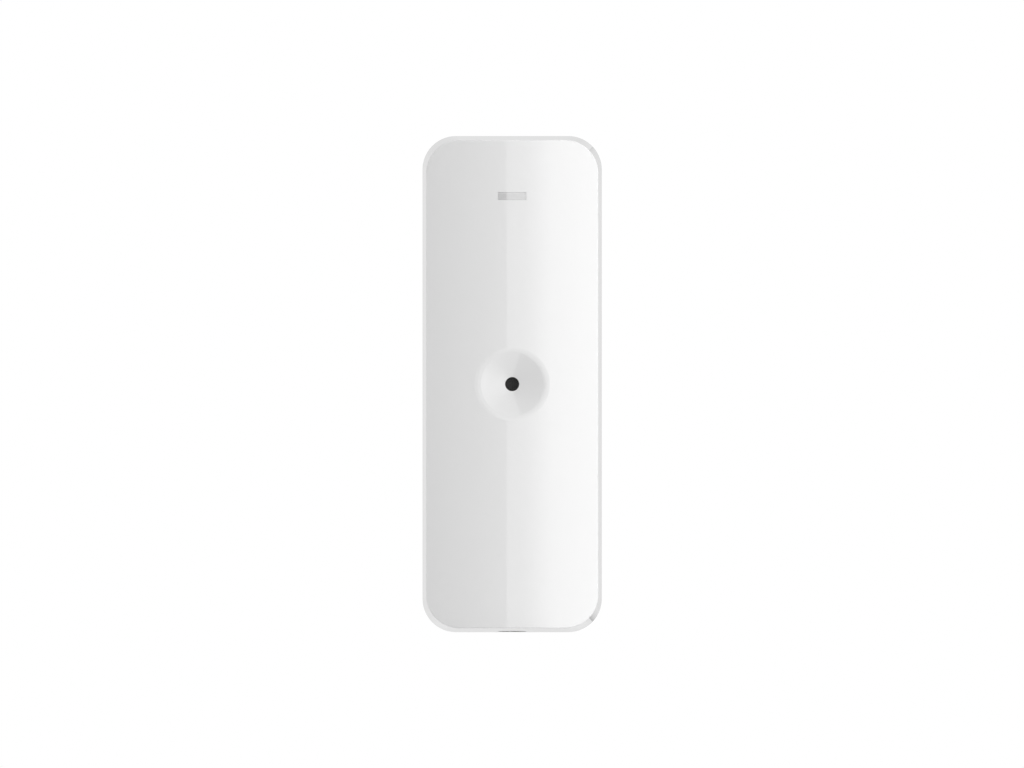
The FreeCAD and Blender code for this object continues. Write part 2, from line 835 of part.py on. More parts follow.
def rear_panel():
    panel = Piece("rear_panel")
    panel_frame(panel)
    panel_hooks(panel)
    panel_lug(panel)
    tamper_pad(panel)
    screw_hole(panel, "upper_screw_hole", s.wall_screw_spacing / 2)
    screw_hole(panel, "lower_screw_hole", -s.wall_screw_spacing / 2)
    return panel.body


# What the cover carries at the sound port and at the window

def light_pipe():
    """A clear moulding: a stem that fills the window and a flange behind it."""
    pipe = Piece("light_pipe")
    back = -(board_front + s.led_base + s.led_lens + s.led_gap)
    centre = (0, s.crown_radius - crown_depth)
    stem_side = s.window_width / 2 - s.window_clearance
    flange_side = s.window_width / 2 + s.pipe_lip
    for name, side, height, inward in (
        ("flange", flange_side, s.window_height + 2 * s.pipe_lip, s.cover_wall + s.window_clearance),
        ("stem", stem_side, s.window_height - 2 * s.window_clearance, s.window_sink),
    ):
        sketch = pipe.sketch(name, TOP, 0, 0, s.window_rise)
        front = crown_y(side, inward)
        draw_outline(sketch, (-side, back), (-side, front), (side, front, centre, 1), (side, back))
        pipe.pad(name, sketch, height, symmetric=True)
    return pipe.body


def acoustic_mesh():
    """A disc of fine mesh that keeps dust out of the sound port."""
    mesh = Piece("acoustic_mesh")
    outline = mesh.sketch("disc", FRONT, 0, 0, boot_front)
    draw_circle(outline, s.boot_radius - s.mesh_clearance)
    mesh.pad("disc", outline, s.mesh_thickness)
    return mesh.body


def microphone_boot():
    """A soft boot round the microphone that seals it to the port."""
    boot = Piece("microphone_boot")
    back, bore = board_front + s.boot_lift, s.capsule_radius + s.capsule_clearance
    boot.turn(
        "boot", 0, 0,
        (back, bore),
        (back, s.boot_radius),
        (boot_front, s.boot_radius),
        (boot_front, s.boot_opening),
        (capsule_front, s.boot_opening),
        (capsule_front, bore),
    )
    return boot.body


def microphone_capsule():
    """A round microphone can with one sound hole, on two solder terminals."""
    capsule = Piece("microphone_capsule")
    capsule.turn(
        "can", 0, 0,
        (capsule_back, 0),
        (capsule_back, s.capsule_radius),
        (capsule_front, s.capsule_radius),
        (capsule_front, s.capsule_hole),
        (capsule_front - s.capsule_face, s.capsule_hole),
        (capsule_front - s.capsule_face, 0),
    )
    pads = capsule.sketch("terminals", FRONT, 0, 0, board_front)
    for x in (-s.terminal_pitch / 2, s.terminal_pitch / 2):
        draw_plate(pads, s.terminal_size, s.terminal_size, x)
    capsule.pad("terminals", pads, s.terminal_height)
    return capsule.body


# The board and what stands on it

def leg_places():
    """The middles of the two legs of a contact plate, across the board."""
    reach = (s.contact_width - s.contact_leg) / 2
    return -reach, reach


def antenna_ends():
    """The two legs of the antenna, across the board."""
    return -s.antenna_span / 2, s.antenna_span / 2


def main_board():
    """The printed circuit board, with its screw holes and the slots of the battery contacts."""
    board = Piece("main_board")
    outline = board.sketch("outline", FRONT, 0, 0, board_back)
    draw_rounded(outline, 2 * board_half, board_height, s.corner_radius - board_inset, body_z)
    board.pad("outline", outline, s.board_thickness)
    holes = board.sketch("holes", FRONT, 0, 0, board_front)
    for x in (-post_x, post_x):
        draw_circle(holes, s.board_screw_radius + s.board_screw_clearance, x, post_z)
    for x in antenna_ends():
        slot = s.antenna_sheet + 2 * s.antenna_hole
        draw_plate(holes, slot, s.antenna_width + 2 * s.antenna_hole, x, antenna_z)
    slot_width = s.contact_leg + 2 * s.contact_clearance
    slot_height = s.contact_sheet + 2 * s.contact_clearance
    for x in leg_places():
        for z in (minus_plate, cell_top):
            draw_plate(holes, slot_width, slot_height, x, z + s.contact_sheet / 2)
    board.pocket("holes", holes, s.board_thickness)
    return board.body


def battery_holder():
    """A cradle for the cell, open to the back, with a wall at each end and notches for a finger."""
    holder = Piece("battery_holder")
    bore = s.cell_radius + s.cell_clearance
    side, back = bore + s.holder_side, cell_axis - s.holder_grip
    plus_wall = cell_top + s.contact_sheet
    outline = holder.sketch("outline", FRONT, 0, 0, back)
    draw_box(outline, -side, side, holder_bottom, holder_top)
    holder.pad("outline", outline, board_back - back)
    cradle = holder.sketch("cradle", TOP, 0, -cell_axis, minus_plate)
    draw_circle(cradle, bore)
    holder.pocket("cradle", cradle, plus_wall - minus_plate, backwards=True)
    window = holder.sketch("window", FRONT, 0, 0, board_back)
    draw_box(window, -s.holder_window, s.holder_window, minus_plate, plus_wall)
    holder.pocket("window", window, board_back - back)
    grooves = holder.sketch("grooves", FRONT, 0, 0, board_back)
    half = s.contact_width / 2 + s.contact_clearance
    draw_box(grooves, -half, half, minus_plate, spring_bottom + s.contact_clearance)
    draw_box(grooves, -half, half, cell_top - s.contact_clearance, plus_wall)
    holder.pocket("grooves", grooves, board_back - back)
    notch = holder.sketch("finger_notch", FRONT, 0, 0, back)
    draw_plate(notch, 2 * side, s.finger_length, 0, (cell_bottom + cell_top) / 2)
    holder.pocket("finger_notch", notch, s.finger_depth, backwards=True)
    return holder.body


def battery_contact(name, low):
    """A flat sheet contact with two legs that pass through the board."""
    contact = Piece(name)
    back = -(board_back - s.contact_height)
    half, leg = s.contact_width / 2, s.contact_leg
    tip = -(board_front + s.contact_tail)
    foot = -(board_back - s.contact_clearance)
    plate = contact.sketch("plate", TOP, 0, 0, low)
    draw_outline(
        plate,
        (-half, back),
        (-half, tip),
        (leg - half, tip),
        (leg - half, foot),
        (half - leg, foot),
        (half - leg, tip),
        (half, tip),
        (half, back),
    )
    contact.pad("plate", plate, s.contact_sheet)
    return contact


def negative_contact():
    """The minus contact, whose sheet is folded back into a leaf spring that presses on the cell."""
    contact = battery_contact("negative_contact", minus_plate)
    fold, sheet = -(board_back - s.contact_height), s.contact_sheet
    middle = spring_bottom + s.spring_bend
    start = middle + s.spring_bend
    crest, top = -cell_axis, cell_bottom - s.spring_clearance
    tip, low = crest - s.spring_reach, top - s.spring_drop
    leaf = contact.sketch("leaf", SIDE, 0, 0, 0)
    draw_outline(
        leaf,
        (fold, minus_plate),
        (fold, start + sheet, (fold, middle), 1),
        (crest, top),
        (tip, low),
        (tip, low - sheet),
        (crest, top - sheet),
        (fold, start),
        (fold, spring_bottom, (fold, middle), -1),
    )
    contact.pad("leaf", leaf, s.spring_width, symmetric=True)
    return contact.body


def positive_contact():
    """The plus contact, a flat plate behind the nub of the cell."""
    return battery_contact("positive_contact", cell_top).body


def battery_cell():
    """A cylindrical lithium cell, its plus nub at the top."""
    cell = Piece("battery_cell")
    shoulder = cell_top - s.cell_nub_height
    cell.turn_upright(
        "can", cell_axis,
        (0, cell_bottom),
        (s.cell_radius, cell_bottom),
        (s.cell_radius, shoulder - s.cell_edge),
        (s.cell_radius - s.cell_edge, shoulder),
        (s.cell_nub_radius, shoulder),
        (s.cell_nub_radius, cell_top),
        (0, cell_top),
    )
    return cell.body


def switch_base(name, x):
    """The moulded base of a push switch, with the cavity that its stem's flange moves in."""
    base = Piece(name)
    outline = base.sketch("outline", FRONT, x, switch_z, switch_back)
    draw_plate(outline, s.switch_size, s.switch_size)
    base.pad("outline", outline, s.switch_height)
    bore = s.stem_radius + s.stem_clearance
    cavity = bore + s.stem_flange
    base.bore(
        "cavity", x, switch_z,
        (switch_back, 0),
        (switch_back, bore),
        (cavity_back, bore),
        (cavity_back, cavity),
        (cavity_front, cavity),
        (cavity_front, 0),
    )
    return base.body


def switch_plate(name, x):
    """The sheet metal frame that holds a push switch together, folded down on two sides."""
    plate = Piece(name)
    half, sheet = s.switch_size / 2, s.switch_plate
    section = plate.sketch("section", TOP, x, 0, switch_z)
    back, fold = -(switch_back - sheet), -(switch_back + s.switch_height / 2)
    draw_outline(
        section,
        (-half - sheet, back),
        (-half - sheet, fold),
        (-half, fold),
        (-half, -switch_back),
        (half, -switch_back),
        (half, fold),
        (half + sheet, fold),
        (half + sheet, back),
    )
    plate.pad("section", section, s.switch_size, symmetric=True)
    slots = plate.sketch("slots", FRONT, x, switch_z, switch_back)
    for low, high in ((-half, -s.switch_tab / 2), (s.switch_tab / 2, half)):
        draw_box(slots, -half - sheet, -half, low, high)
        draw_box(slots, half, half + sheet, low, high)
    plate.pocket("slots", slots, 2 * s.switch_height, symmetric=True)
    hole = plate.sketch("hole", FRONT, x, switch_z, switch_back)
    draw_circle(hole, s.stem_radius + s.stem_clearance)
    plate.pocket("hole", hole, sheet)
    return plate.body


def switch_stem(name, x, tip):
    """The moving stem of a push switch, kept in by its flange."""
    stem = Piece(name)
    flange = s.stem_radius + s.stem_flange
    stem.turn(
        "stem", x, switch_z,
        (tip, 0),
        (tip, s.stem_radius),
        (flange_back, s.stem_radius),
        (flange_back, flange),
        (flange_front, flange),
        (flange_front, 0),
    )
    return stem.body


def radio_shield():
    """A sheet metal can over the radio, open to the board, with vent slots in its top."""
    shield = Piece("radio_shield")
    back, sheet = board_back - s.shield_height, s.shield_sheet
    outside = shield.sketch("outside", FRONT, shield_x, shield_z, back)
    draw_plate(outside, s.shield_width, s.shield_length)
    shield.pad("outside", outside, s.shield_height)
    inside = shield.sketch("inside", FRONT, shield_x, shield_z, back + sheet)
    draw_plate(inside, s.shield_width - 2 * sheet, s.shield_length - 2 * sheet)
    shield.pocket("inside", inside, s.shield_height, backwards=True)
    vents = shield.sketch("vents", FRONT, shield_x, shield_z, back + sheet)
    for i in range(VENT_COUNT):
        draw_plate(vents, s.vent_width, s.vent_length, s.vent_pitch * (i - (VENT_COUNT - 1) / 2))
    shield.pocket("vents", vents, sheet)
    return shield.body


def processor_chip():
    """A flat square processor package with a dimple at its first pin."""
    size, back = s.processor_size, board_back - s.processor_height
    package = block("processor_package", processor_x, shield_z, back, size, size, s.processor_height)
    dimple_x = processor_x - size / 2 + 2 * s.processor_mark
    dimple_z = shield_z + size / 2 - 2 * s.processor_mark
    dimple = rod("processor_dimple", dimple_x, dimple_z, back, s.processor_mark, s.processor_mark / 4)
    return cut("processor_chip", package, dimple)


def crystal_can():
    """The clock crystal of the processor, in a can with round corners."""
    crystal = Piece("crystal_can")
    z = shield_z - s.processor_size / 2 - s.part_gap - s.crystal_width / 2
    outline = crystal.sketch("outline", FRONT, processor_x, z, board_back - s.crystal_height)
    draw_rounded(outline, s.crystal_length, s.crystal_width, s.crystal_corner)
    crystal.pad("outline", outline, s.crystal_height)
    return crystal.body


def amplifier_chip():
    """The microphone amplifier on the front of the board, with four bent leads on each side."""
    chip = Piece("amplifier_chip")
    back, sheet = board_front + s.amplifier_lift, s.lead_sheet
    half = s.amplifier_width / 2
    outline = chip.sketch("package", FRONT, amplifier_x, amplifier_z, back)
    draw_plate(outline, s.amplifier_width, s.amplifier_length)
    chip.pad("package", outline, s.amplifier_height)
    row_length = s.lead_pitch * (LEAD_COUNT - 1)
    sketch = chip.sketch("lead", TOP, amplifier_x, 0, amplifier_z - row_length / 2)
    shoulder, foot = -(back + s.amplifier_height / 2), -board_front
    bend, toe = half + s.lead_reach / 2, half + s.lead_reach
    for side in (-1, 1):
        draw_outline(
            sketch,
            (side * half, shoulder),
            (side * half, shoulder - sheet),
            (side * (bend + sheet), shoulder - sheet),
            (side * (bend + sheet), foot - sheet),
            (side * toe, foot - sheet),
            (side * toe, foot),
            (side * bend, foot),
            (side * bend, shoulder),
        )
    lead = chip.pad("lead", sketch, s.lead_width, symmetric=True)
    row = chip.add("PartDesign::LinearPattern", "leads")
    row.Originals = [lead]
    row.Direction = (sketch, ["N_Axis"])
    row.Occurrences = LEAD_COUNT
    bind(row, "Length", row_length)
    chip.body.Tip = row
    return chip.body


def indicator_led():
    """The light behind the window: a lens on a small base."""
    z, length = s.window_rise, s.led_length
    base = block("led_base", 0, z, board_front, s.led_width, length, s.led_base)
    lens = block("led_lens", 0, z, board_front + s.led_base, s.led_lens_width, length, s.led_lens)
    return fuse("indicator_led", base, lens)


def strip_antenna():
    """A stamped strip, bent like a staple, that stands across the lower end of the board."""
    antenna = Piece("strip_antenna")
    left, right = antenna_ends()
    tail, top = -(board_front + s.antenna_tail), s.antenna_height - board_back
    half, bend = s.antenna_sheet / 2, s.antenna_bend
    shoulder = top + half - bend
    strip = antenna.sketch("strip", TOP, 0, 0, antenna_z)
    draw_outline(
        strip,
        (left - half, tail),
        (left + half, tail),
        (left + half, shoulder),
        (left - half + bend, top - half, (left - half + bend, shoulder), -1),
        (right + half - bend, top - half),
        (right - half, shoulder, (right + half - bend, shoulder), -1),
        (right - half, tail),
        (right + half, tail),
        (right + half, shoulder),
        (right + half - bend, top + half, (right + half - bend, shoulder), 1),
        (left - half + bend, top + half),
        (left - half, shoulder, (left - half + bend, shoulder), 1),
    )
    antenna.pad("strip", strip, s.antenna_width, symmetric=True)
    return antenna.body


def storage_capacitor(name, z):
    """A round can on a square base."""
    capacitor = Piece(name)
    base = capacitor.sketch("base", FRONT, capacitor_x, z, board_back)
    draw_plate(base, s.capacitor_base, s.capacitor_base)
    capacitor.pad("base", base, s.capacitor_base_height, backwards=True)
    can = capacitor.sketch("can", FRONT, capacitor_x, z, board_back - s.capacitor_base_height)
    draw_circle(can, s.capacitor_radius)
    capacitor.pad("can", can, s.capacitor_height - s.capacitor_base_height, backwards=True)
    return capacitor.body


def storage_capacitors():
    upper = storage_capacitor("upper_capacitor", capacitor_z)
    lower = storage_capacitor("lower_capacitor", capacitor_z - capacitor_pitch)
    return group("storage_capacitors", [upper, lower])


def chip_components():
    """Small resistors and capacitors: a row above the processor, and a column beside the microphone."""
    row_z = shield_z + s.processor_size / 2 + s.part_gap + s.chip_length / 2
    chips = []
    for i in range(CHIPS_IN_A_ROW):
        along = s.chip_pitch * (i - (CHIPS_IN_A_ROW - 1) / 2)
        chips.append(block(
            f"rear_chip_{i}", processor_x + along, row_z, board_back - s.chip_height,
            s.chip_width, s.chip_length, s.chip_height,
        ))
        chips.append(block(
            f"front_chip_{i}", -amplifier_x, amplifier_z + along, board_front,
            s.chip_length, s.chip_width, s.chip_height,
        ))
    return group("chip_components", chips)


# Screws

def draw_cross(sketch):
    """The cross recess of a screw head."""
    r, w = s.drive_radius, s.drive_width / 2
    draw_outline(
        sketch,
        (-r, -w), (-w, -w), (-w, -r), (w, -r), (w, -w), (r, -w),
        (r, w), (w, w), (w, r), (-w, r), (-w, w), (-r, w),
    )


def board_screw(name, x):
    """A short screw from the back of the board into a post of the cover."""
    screw = Piece(name)
    shank = s.board_screw_radius - s.thread_clearance
    head = board_back - s.board_screw_head_height
    tip = board_back + s.board_screw_length
    screw.turn(
        "screw", x, post_z,
        (head, 0),
        (head, s.board_screw_head),
        (board_back, s.board_screw_head),
        (board_back, shank),
        (tip, shank),
        (tip, 0),
    )
    cross = screw.sketch("cross", FRONT, x, post_z, head)
    draw_cross(cross)
    screw.pocket("cross", cross, s.drive_depth, backwards=True)
    return screw.body


def board_screws():
    return group("board_screws", [board_screw("left_screw", -post_x), board_screw("right_screw", post_x)])


def locking_screw():
    """The screw that is driven up from below and keeps the cover on the panel."""
    screw = Piece("locking_screw")
    bottom = lock_seat - s.lock_head_height
    top = lock_seat + s.lock_screw_length
    screw.turn_upright(
        "screw", s.lock_depth,
        (0, bottom),
        (s.lock_head_radius, bottom),
        (s.lock_head_radius, lock_seat),
        (s.lock_screw_radius, lock_seat),
        (s.lock_screw_radius, top),
        (0, top),
    )
    cross = screw.sketch("cross", TOP, 0, -s.lock_depth, bottom)
    draw_cross(cross)
    screw.pocket("cross", cross, s.drive_depth, backwards=True)
    return screw.body


def build():
    tamper_tip = s.panel_thickness + s.tamper_boss_height + s.stem_gap
    enrol_tip = switch_back - s.switch_plate - s.enrol_height
    return [
        front_cover(),
        rear_panel(),
        light_pipe(),
        acoustic_mesh(),
        microphone_boot(),
        microphone_capsule(),
        main_board(),
        battery_holder(),
        negative_contact(),
        positive_contact(),
        battery_cell(),
        switch_base("tamper_switch_base", 0),
        switch_plate("tamper_switch_plate", 0),
        switch_stem("tamper_switch_stem", 0, tamper_tip),
        switch_base("enrol_switch_base", enrol_x),
        switch_plate("enrol_switch_plate", enrol_x),
        switch_stem("enrol_button", enrol_x, enrol_tip),
        radio_shield(),
        processor_chip(),
        crystal_can(),
        amplifier_chip(),
        indicator_led(),
        strip_antenna(),
        storage_capacitors(),
        chip_components(),
        board_screws(),
        locking_screw(),
    ]


def check(subparts):
    """Stops the build if anything in the document failed."""
    failed = [thing.Name for thing in DOC.Objects if "Invalid" in thing.State or "Error" in thing.State]
    failed += [part.Label for part in subparts if part.Shape.isNull() or not part.Shape.isValid()]
    if failed:
        raise RuntimeError("These did not build: " + ", ".join(failed))


subparts = build()
DOC.recompute()
check(subparts)
os.makedirs("parts", exist_ok=True)
for part in subparts:
    part.Shape.exportStep(f"parts/{part.Label}.step")
    print(part.Label, len(part.Shape.Solids), round(part.Shape.Volume, 2))
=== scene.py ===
import json
import math

import bmesh
import bpy
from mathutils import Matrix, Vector


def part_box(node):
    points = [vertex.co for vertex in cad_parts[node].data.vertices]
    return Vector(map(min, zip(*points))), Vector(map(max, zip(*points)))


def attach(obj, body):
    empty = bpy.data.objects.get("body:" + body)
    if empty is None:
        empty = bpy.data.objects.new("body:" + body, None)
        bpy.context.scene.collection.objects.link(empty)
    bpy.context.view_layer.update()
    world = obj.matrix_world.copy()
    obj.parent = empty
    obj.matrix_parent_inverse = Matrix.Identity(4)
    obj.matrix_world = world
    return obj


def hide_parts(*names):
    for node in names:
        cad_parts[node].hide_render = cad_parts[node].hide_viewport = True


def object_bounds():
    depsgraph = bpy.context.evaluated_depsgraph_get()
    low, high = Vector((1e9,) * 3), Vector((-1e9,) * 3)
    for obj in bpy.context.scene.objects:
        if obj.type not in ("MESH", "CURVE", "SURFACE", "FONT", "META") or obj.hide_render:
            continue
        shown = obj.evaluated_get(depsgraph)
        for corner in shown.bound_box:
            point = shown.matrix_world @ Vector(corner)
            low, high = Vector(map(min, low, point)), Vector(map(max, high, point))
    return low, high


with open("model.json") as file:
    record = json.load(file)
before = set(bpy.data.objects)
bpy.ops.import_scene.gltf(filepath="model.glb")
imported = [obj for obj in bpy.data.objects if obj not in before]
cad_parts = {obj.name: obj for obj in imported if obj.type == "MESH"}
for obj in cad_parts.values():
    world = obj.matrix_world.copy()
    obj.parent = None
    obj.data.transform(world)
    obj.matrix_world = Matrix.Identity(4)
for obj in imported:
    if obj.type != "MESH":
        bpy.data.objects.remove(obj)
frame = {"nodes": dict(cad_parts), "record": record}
cadLow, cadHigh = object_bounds()
mm = 0.001
hair = 0.01 * mm  # enough to tell which side of a plane a point is on
scene = bpy.context.scene


# Shader maths: a wire is a node's output that takes part in plain sums
class Wire:
    def __init__(self, recipe, socket):
        self.recipe, self.socket = recipe, socket

    def __add__(self, other):
        return self.recipe.maths("ADD", self, other)

    def __radd__(self, other):
        return self.recipe.maths("ADD", other, self)

    def __sub__(self, other):
        return self.recipe.maths("SUBTRACT", self, other)

    def __rsub__(self, other):
        return self.recipe.maths("SUBTRACT", other, self)

    def __mul__(self, other):
        return self.recipe.maths("MULTIPLY", self, other)

    def __rmul__(self, other):
        return self.recipe.maths("MULTIPLY", other, self)

    def __truediv__(self, other):
        return self.recipe.maths("DIVIDE", self, other)

    def __rtruediv__(self, other):
        return self.recipe.maths("DIVIDE", other, self)

    def __lt__(self, other):
        return self.recipe.maths("LESS_THAN", self, other)

    def __gt__(self, other):
        return self.recipe.maths("GREATER_THAN", self, other)

    def __abs__(self):
        return self.recipe.maths("ABSOLUTE", self)


# A recipe is one node tree: of a material, of the world or of geometry
class Recipe:
    def __init__(self, tree):
        self.tree = tree
        tree.nodes.clear()

    def node(self, kind, settings=None, sockets=None, out=0):
        made = self.tree.nodes.new(kind if "Node" in kind else "ShaderNode" + kind)
        for name, value in (settings or {}).items():
            setattr(made, name, value)
        for name, value in (sockets or {}).items():
            self.feed(made.inputs[name], value)
        return Wire(self, made.outputs[out]) if made.outputs else None

    def outputs(self, kind, settings=None, sockets=None):
        made = self.node(kind, settings, sockets).socket.node
        return [Wire(self, socket) for socket in made.outputs]

    def feed(self, socket, value):
        if isinstance(value, Wire):
            self.tree.links.new(value.socket, socket)
        elif socket.type == "RGBA" and len(value) == 3:
            socket.default_value = (*value, 1)
        else:
            socket.default_value = value

    def maths(self, operation, *terms):
        return self.node("Math", {"operation": operation}, dict(enumerate(terms)))

    # from 0 at start to 1 at end, and level beyond them
    def rise(self, value, start, end, kind="LINEAR"):
        return self.node("MapRange", {"interpolation_type": kind}, {0: value, 1: start, 2: end, 3: 0.0, 4: 1.0})

    def clamp(self, value, low, high):
        return self.node("Clamp", {}, {0: value, 1: low, 2: high})

    def blend(self, factor, first, second):
        return self.node("Mix", {"data_type": "RGBA"}, {0: factor, 6: first, 7: second}, out=2)

    def place(self):
        return self.node("TexCoord", out=3)

    def split(self, vector):
        return self.outputs("SeparateXYZ", {}, {0: vector})

    def vector(self, x=0.0, y=0.0, z=0.0):
        return self.node("CombineXYZ", {}, {"X": x, "Y": y, "Z": z})

    def distance(self, x, z):
        return self.maths("SQRT", x * x + z * z)

    def noise(self, size, detail=2.0, vector=None):
        return self.node("TexNoise", {}, {"Vector": vector or self.place(), "Scale": 1 / size, "Detail": detail})

    # noise drawn out into lines: grain says how often it changes in a metre, along each axis
    def lines(self, grain):
        stretched = self.node("Mapping", {}, {"Vector": self.place(), "Scale": grain})
        return self.noise(1, 3.0, stretched)

    def bump(self, height, depth):
        return self.node("Bump", {}, {"Height": height, "Distance": depth, "Strength": 1.0})

    def join(self, *shapes):
        whole = self.node("GeometryNodeJoinGeometry")
        for shape in shapes:
            self.tree.links.new(shape.socket, whole.socket.node.inputs[0])
        return whole


# A range is the least of a value, and how much more there is of it at most
def within(span, share):
    return span[0] + span[1] * share


materials = {}


# look(recipe) gives the sockets of the surface shader
def newFinish(name, look):
    material = bpy.data.materials.new(name)
    material.use_nodes = True
    recipe = Recipe(material.node_tree)
    surface = recipe.node("BsdfPrincipled", {}, look(recipe))
    recipe.node("OutputMaterial", {}, {"Surface": surface})
    materials[name] = material


# Moulded plastic: an even colour with the faint clouding and skin of a polished or sparked mould.
# The solder that has set is made the same way, of metal.
mould = {"cloud": 7 * mm, "patch": 1.5 * mm, "wear": (0.85, 0.3), "skinDetail": 3.0}
plastics = {
    "panel_white": {"colour": (0.80, 0.80, 0.78), "roughness": 0.42, "grain": 0.12 * mm, "depth": 0.006 * mm},
    "stem_white": {"colour": (0.78, 0.78, 0.74), "roughness": 0.35, "grain": 0.2 * mm, "depth": 0.003 * mm},
    "button_red": {
        "colour": (0.62, 0.06, 0.05), "roughness": 0.33, "grain": 0.2 * mm, "depth": 0.003 * mm, "shade": 0.85},
    "holder_black": {
        "colour": (0.022, 0.022, 0.024), "roughness": 0.45, "grain": 0.1 * mm, "depth": 0.008 * mm, "shade": 0.7},
    "switch_black": {
        "colour": (0.018, 0.018, 0.019), "roughness": 0.5, "grain": 0.08 * mm, "depth": 0.006 * mm, "shade": 0.7},
    "boot_black": {
        "colour": (0.020, 0.020, 0.021), "roughness": 0.72, "grain": 0.06 * mm, "depth": 0.01 * mm, "shade": 0.6},
    "chip_black": {
        "colour": (0.026, 0.026, 0.028), "roughness": 0.58, "grain": 0.05 * mm, "depth": 0.006 * mm, "shade": 0.75},
    "solder_tin": {
        "colour": (0.66, 0.67, 0.68), "roughness": 0.22, "grain": 0.3 * mm, "depth": 0.004 * mm, "shade": 0.9,
        "metallic": 1.0},
}


def moulded(colour, roughness, grain, depth, shade=0.97, metallic=0.0):
    def look(r):
        dimmer = [part * shade for part in colour]
        return {
            "Base Color": r.blend(r.noise(mould["cloud"]), dimmer, colour),
            "Metallic": metallic,
            "Roughness": roughness * within(mould["wear"], r.noise(mould["patch"])),
            "Normal": r.bump(r.noise(grain, mould["skinDetail"]), depth),
        }
    return look


# Metal with a drawn or rolled grain along one axis
roll = {"shade": 0.82, "wear": (0.7, 0.6), "depth": 0.004 * mm}
metals = {
    "contact_nickel": {"colour": (0.74, 0.70, 0.63), "roughness": 0.26, "grain": (6000, 400, 400)},
    "switch_steel": {"colour": (0.68, 0.68, 0.67), "roughness": 0.28, "grain": (400, 400, 5000)},
    "shield_tin": {"colour": (0.70, 0.71, 0.72), "roughness": 0.34, "grain": (5000, 500, 500)},
    "crystal_metal": {"colour": (0.75, 0.75, 0.73), "roughness": 0.24, "grain": (6000, 400, 400)},
    "antenna_plate": {"colour": (0.76, 0.74, 0.70), "roughness": 0.27, "grain": (6000, 600, 600)},
    "capacitor_can": {"colour": (0.78, 0.78, 0.79), "roughness": 0.32, "grain": (400, 4000, 400)},
    "screw_steel": {"colour": (0.62, 0.62, 0.60), "roughness": 0.36, "grain": (1500, 1500, 1500)},
}


def drawn(colour, roughness, grain):
    def look(r):
        lines = r.lines(grain)
        dimmer = [part * roll["shade"] for part in colour]
        return {
            "Base Color": r.blend(lines, dimmer, colour),
            "Metallic": 1.0,
            "Roughness": roughness * within(roll["wear"], lines),
            "Normal": r.bump(lines, roll["depth"]),
        }
    return look


# The cover: polished all over, with painted shade that deepens down the funnel of the sound port
cover = {
    "colour": (0.86, 0.86, 0.86), "cloud": 7 * mm, "cloudTone": (0.993, 0.007),
    "polish": 0.008, "wear": (0.5, 1.0),
    "funnelRim": 6.1 * mm, "funnelIn": 5.3 * mm, "rimShade": 0.95, "portShade": 0.905,
}


def coverLook(r):
    x, _, z = r.split(r.place())
    away = r.distance(x, z)
    inside = r.rise(away, cover["funnelRim"], cover["funnelIn"])
    depth = 1 - away / cover["funnelRim"]
    # painted shade: the colour darkens from the funnel's rim towards the port
    funnelShade = cover["rimShade"] + depth * (cover["portShade"] - cover["rimShade"])
    cloud = r.noise(cover["cloud"])
    toneAndShade = within(cover["cloudTone"], cloud) * (1 - inside * (1 - funnelShade))
    return {
        "Base Color": r.blend(toneAndShade, (0, 0, 0), cover["colour"]),
        "Roughness": cover["polish"] * within(cover["wear"], cloud),
    }


# The clear moulding of the window, with a painted light line round its end, which lifts the shade of the gap round
# it.
# The line is narrower at the sides than above and below.
pipe = {
    "clear": ((0.760, 0.760, 0.760), (0.778, 0.778, 0.778)), "cloud": 1.5 * mm,
    "paintedRimLight": (0.90, 0.90, 0.90), "rimAtSides": 0.09 * mm, "rimAbove": 0.14 * mm, "end": 0.3 * mm,
    "roughness": (0.01, 0.01), "patch": 0.8 * mm, "ior": 2.09, "through": 0.12,
}


def pipeLook(r):
    x, _, z = r.split(r.place())
    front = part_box("light_pipe")[0][1] + pipe["end"]
    end = [vert.co for vert in frame["nodes"]["light_pipe"].data.vertices if vert.co.y < front]
    paintedRims = []
    for axis, i, width in ((x, 0, pipe["rimAtSides"]), (z, 2, pipe["rimAbove"])):
        first, last = min(spot[i] for spot in end), max(spot[i] for spot in end)
        paintedRims.append(abs(axis - (first + last) / 2) > (last - first) / 2 - width)
    clear = r.blend(r.noise(pipe["cloud"]), *pipe["clear"])
    return {
        # painted light: the lighter line round the end of the pipe
        "Base Color": r.blend(r.maths("MAXIMUM", *paintedRims), clear, pipe["paintedRimLight"]),
        "Roughness": within(pipe["roughness"], r.noise(pipe["patch"])),
        "IOR": pipe["ior"],
        "Transmission Weight": pipe["through"],
    }


# Black filament of the woven mesh
filament = {
    "colours": ((0.048, 0.048, 0.048), (0.104, 0.104, 0.104)), "patch": 0.03 * mm, "detail": 3.0,
    "roughness": (0.55, 0.25), "depth": 0.004 * mm,
}


def meshLook(r):
    patch = r.noise(filament["patch"], filament["detail"])
    return {
        "Base Color": r.blend(patch, *filament["colours"]),
        "Roughness": within(filament["roughness"], patch),
        "Normal": r.bump(patch, filament["depth"]),
    }


# The microphone can: drawn metal, with black felt on its front and in its sound hole
capsule = {
    "metal": ((0.59, 0.59, 0.58), (0.72, 0.72, 0.71)), "grain": (400, 400, 6000), "metalRoughness": (0.21, 0.18),
    "felt": (0.016, 0.016, 0.017), "feltBack": 0.35 * mm, "feltRadius": 2.5 * mm, "feltRoughness": (0.65, 0.3),
    "nap": 0.08 * mm, "napDetail": 4.0, "napTimesLines": 6, "depth": 0.004 * mm,
}


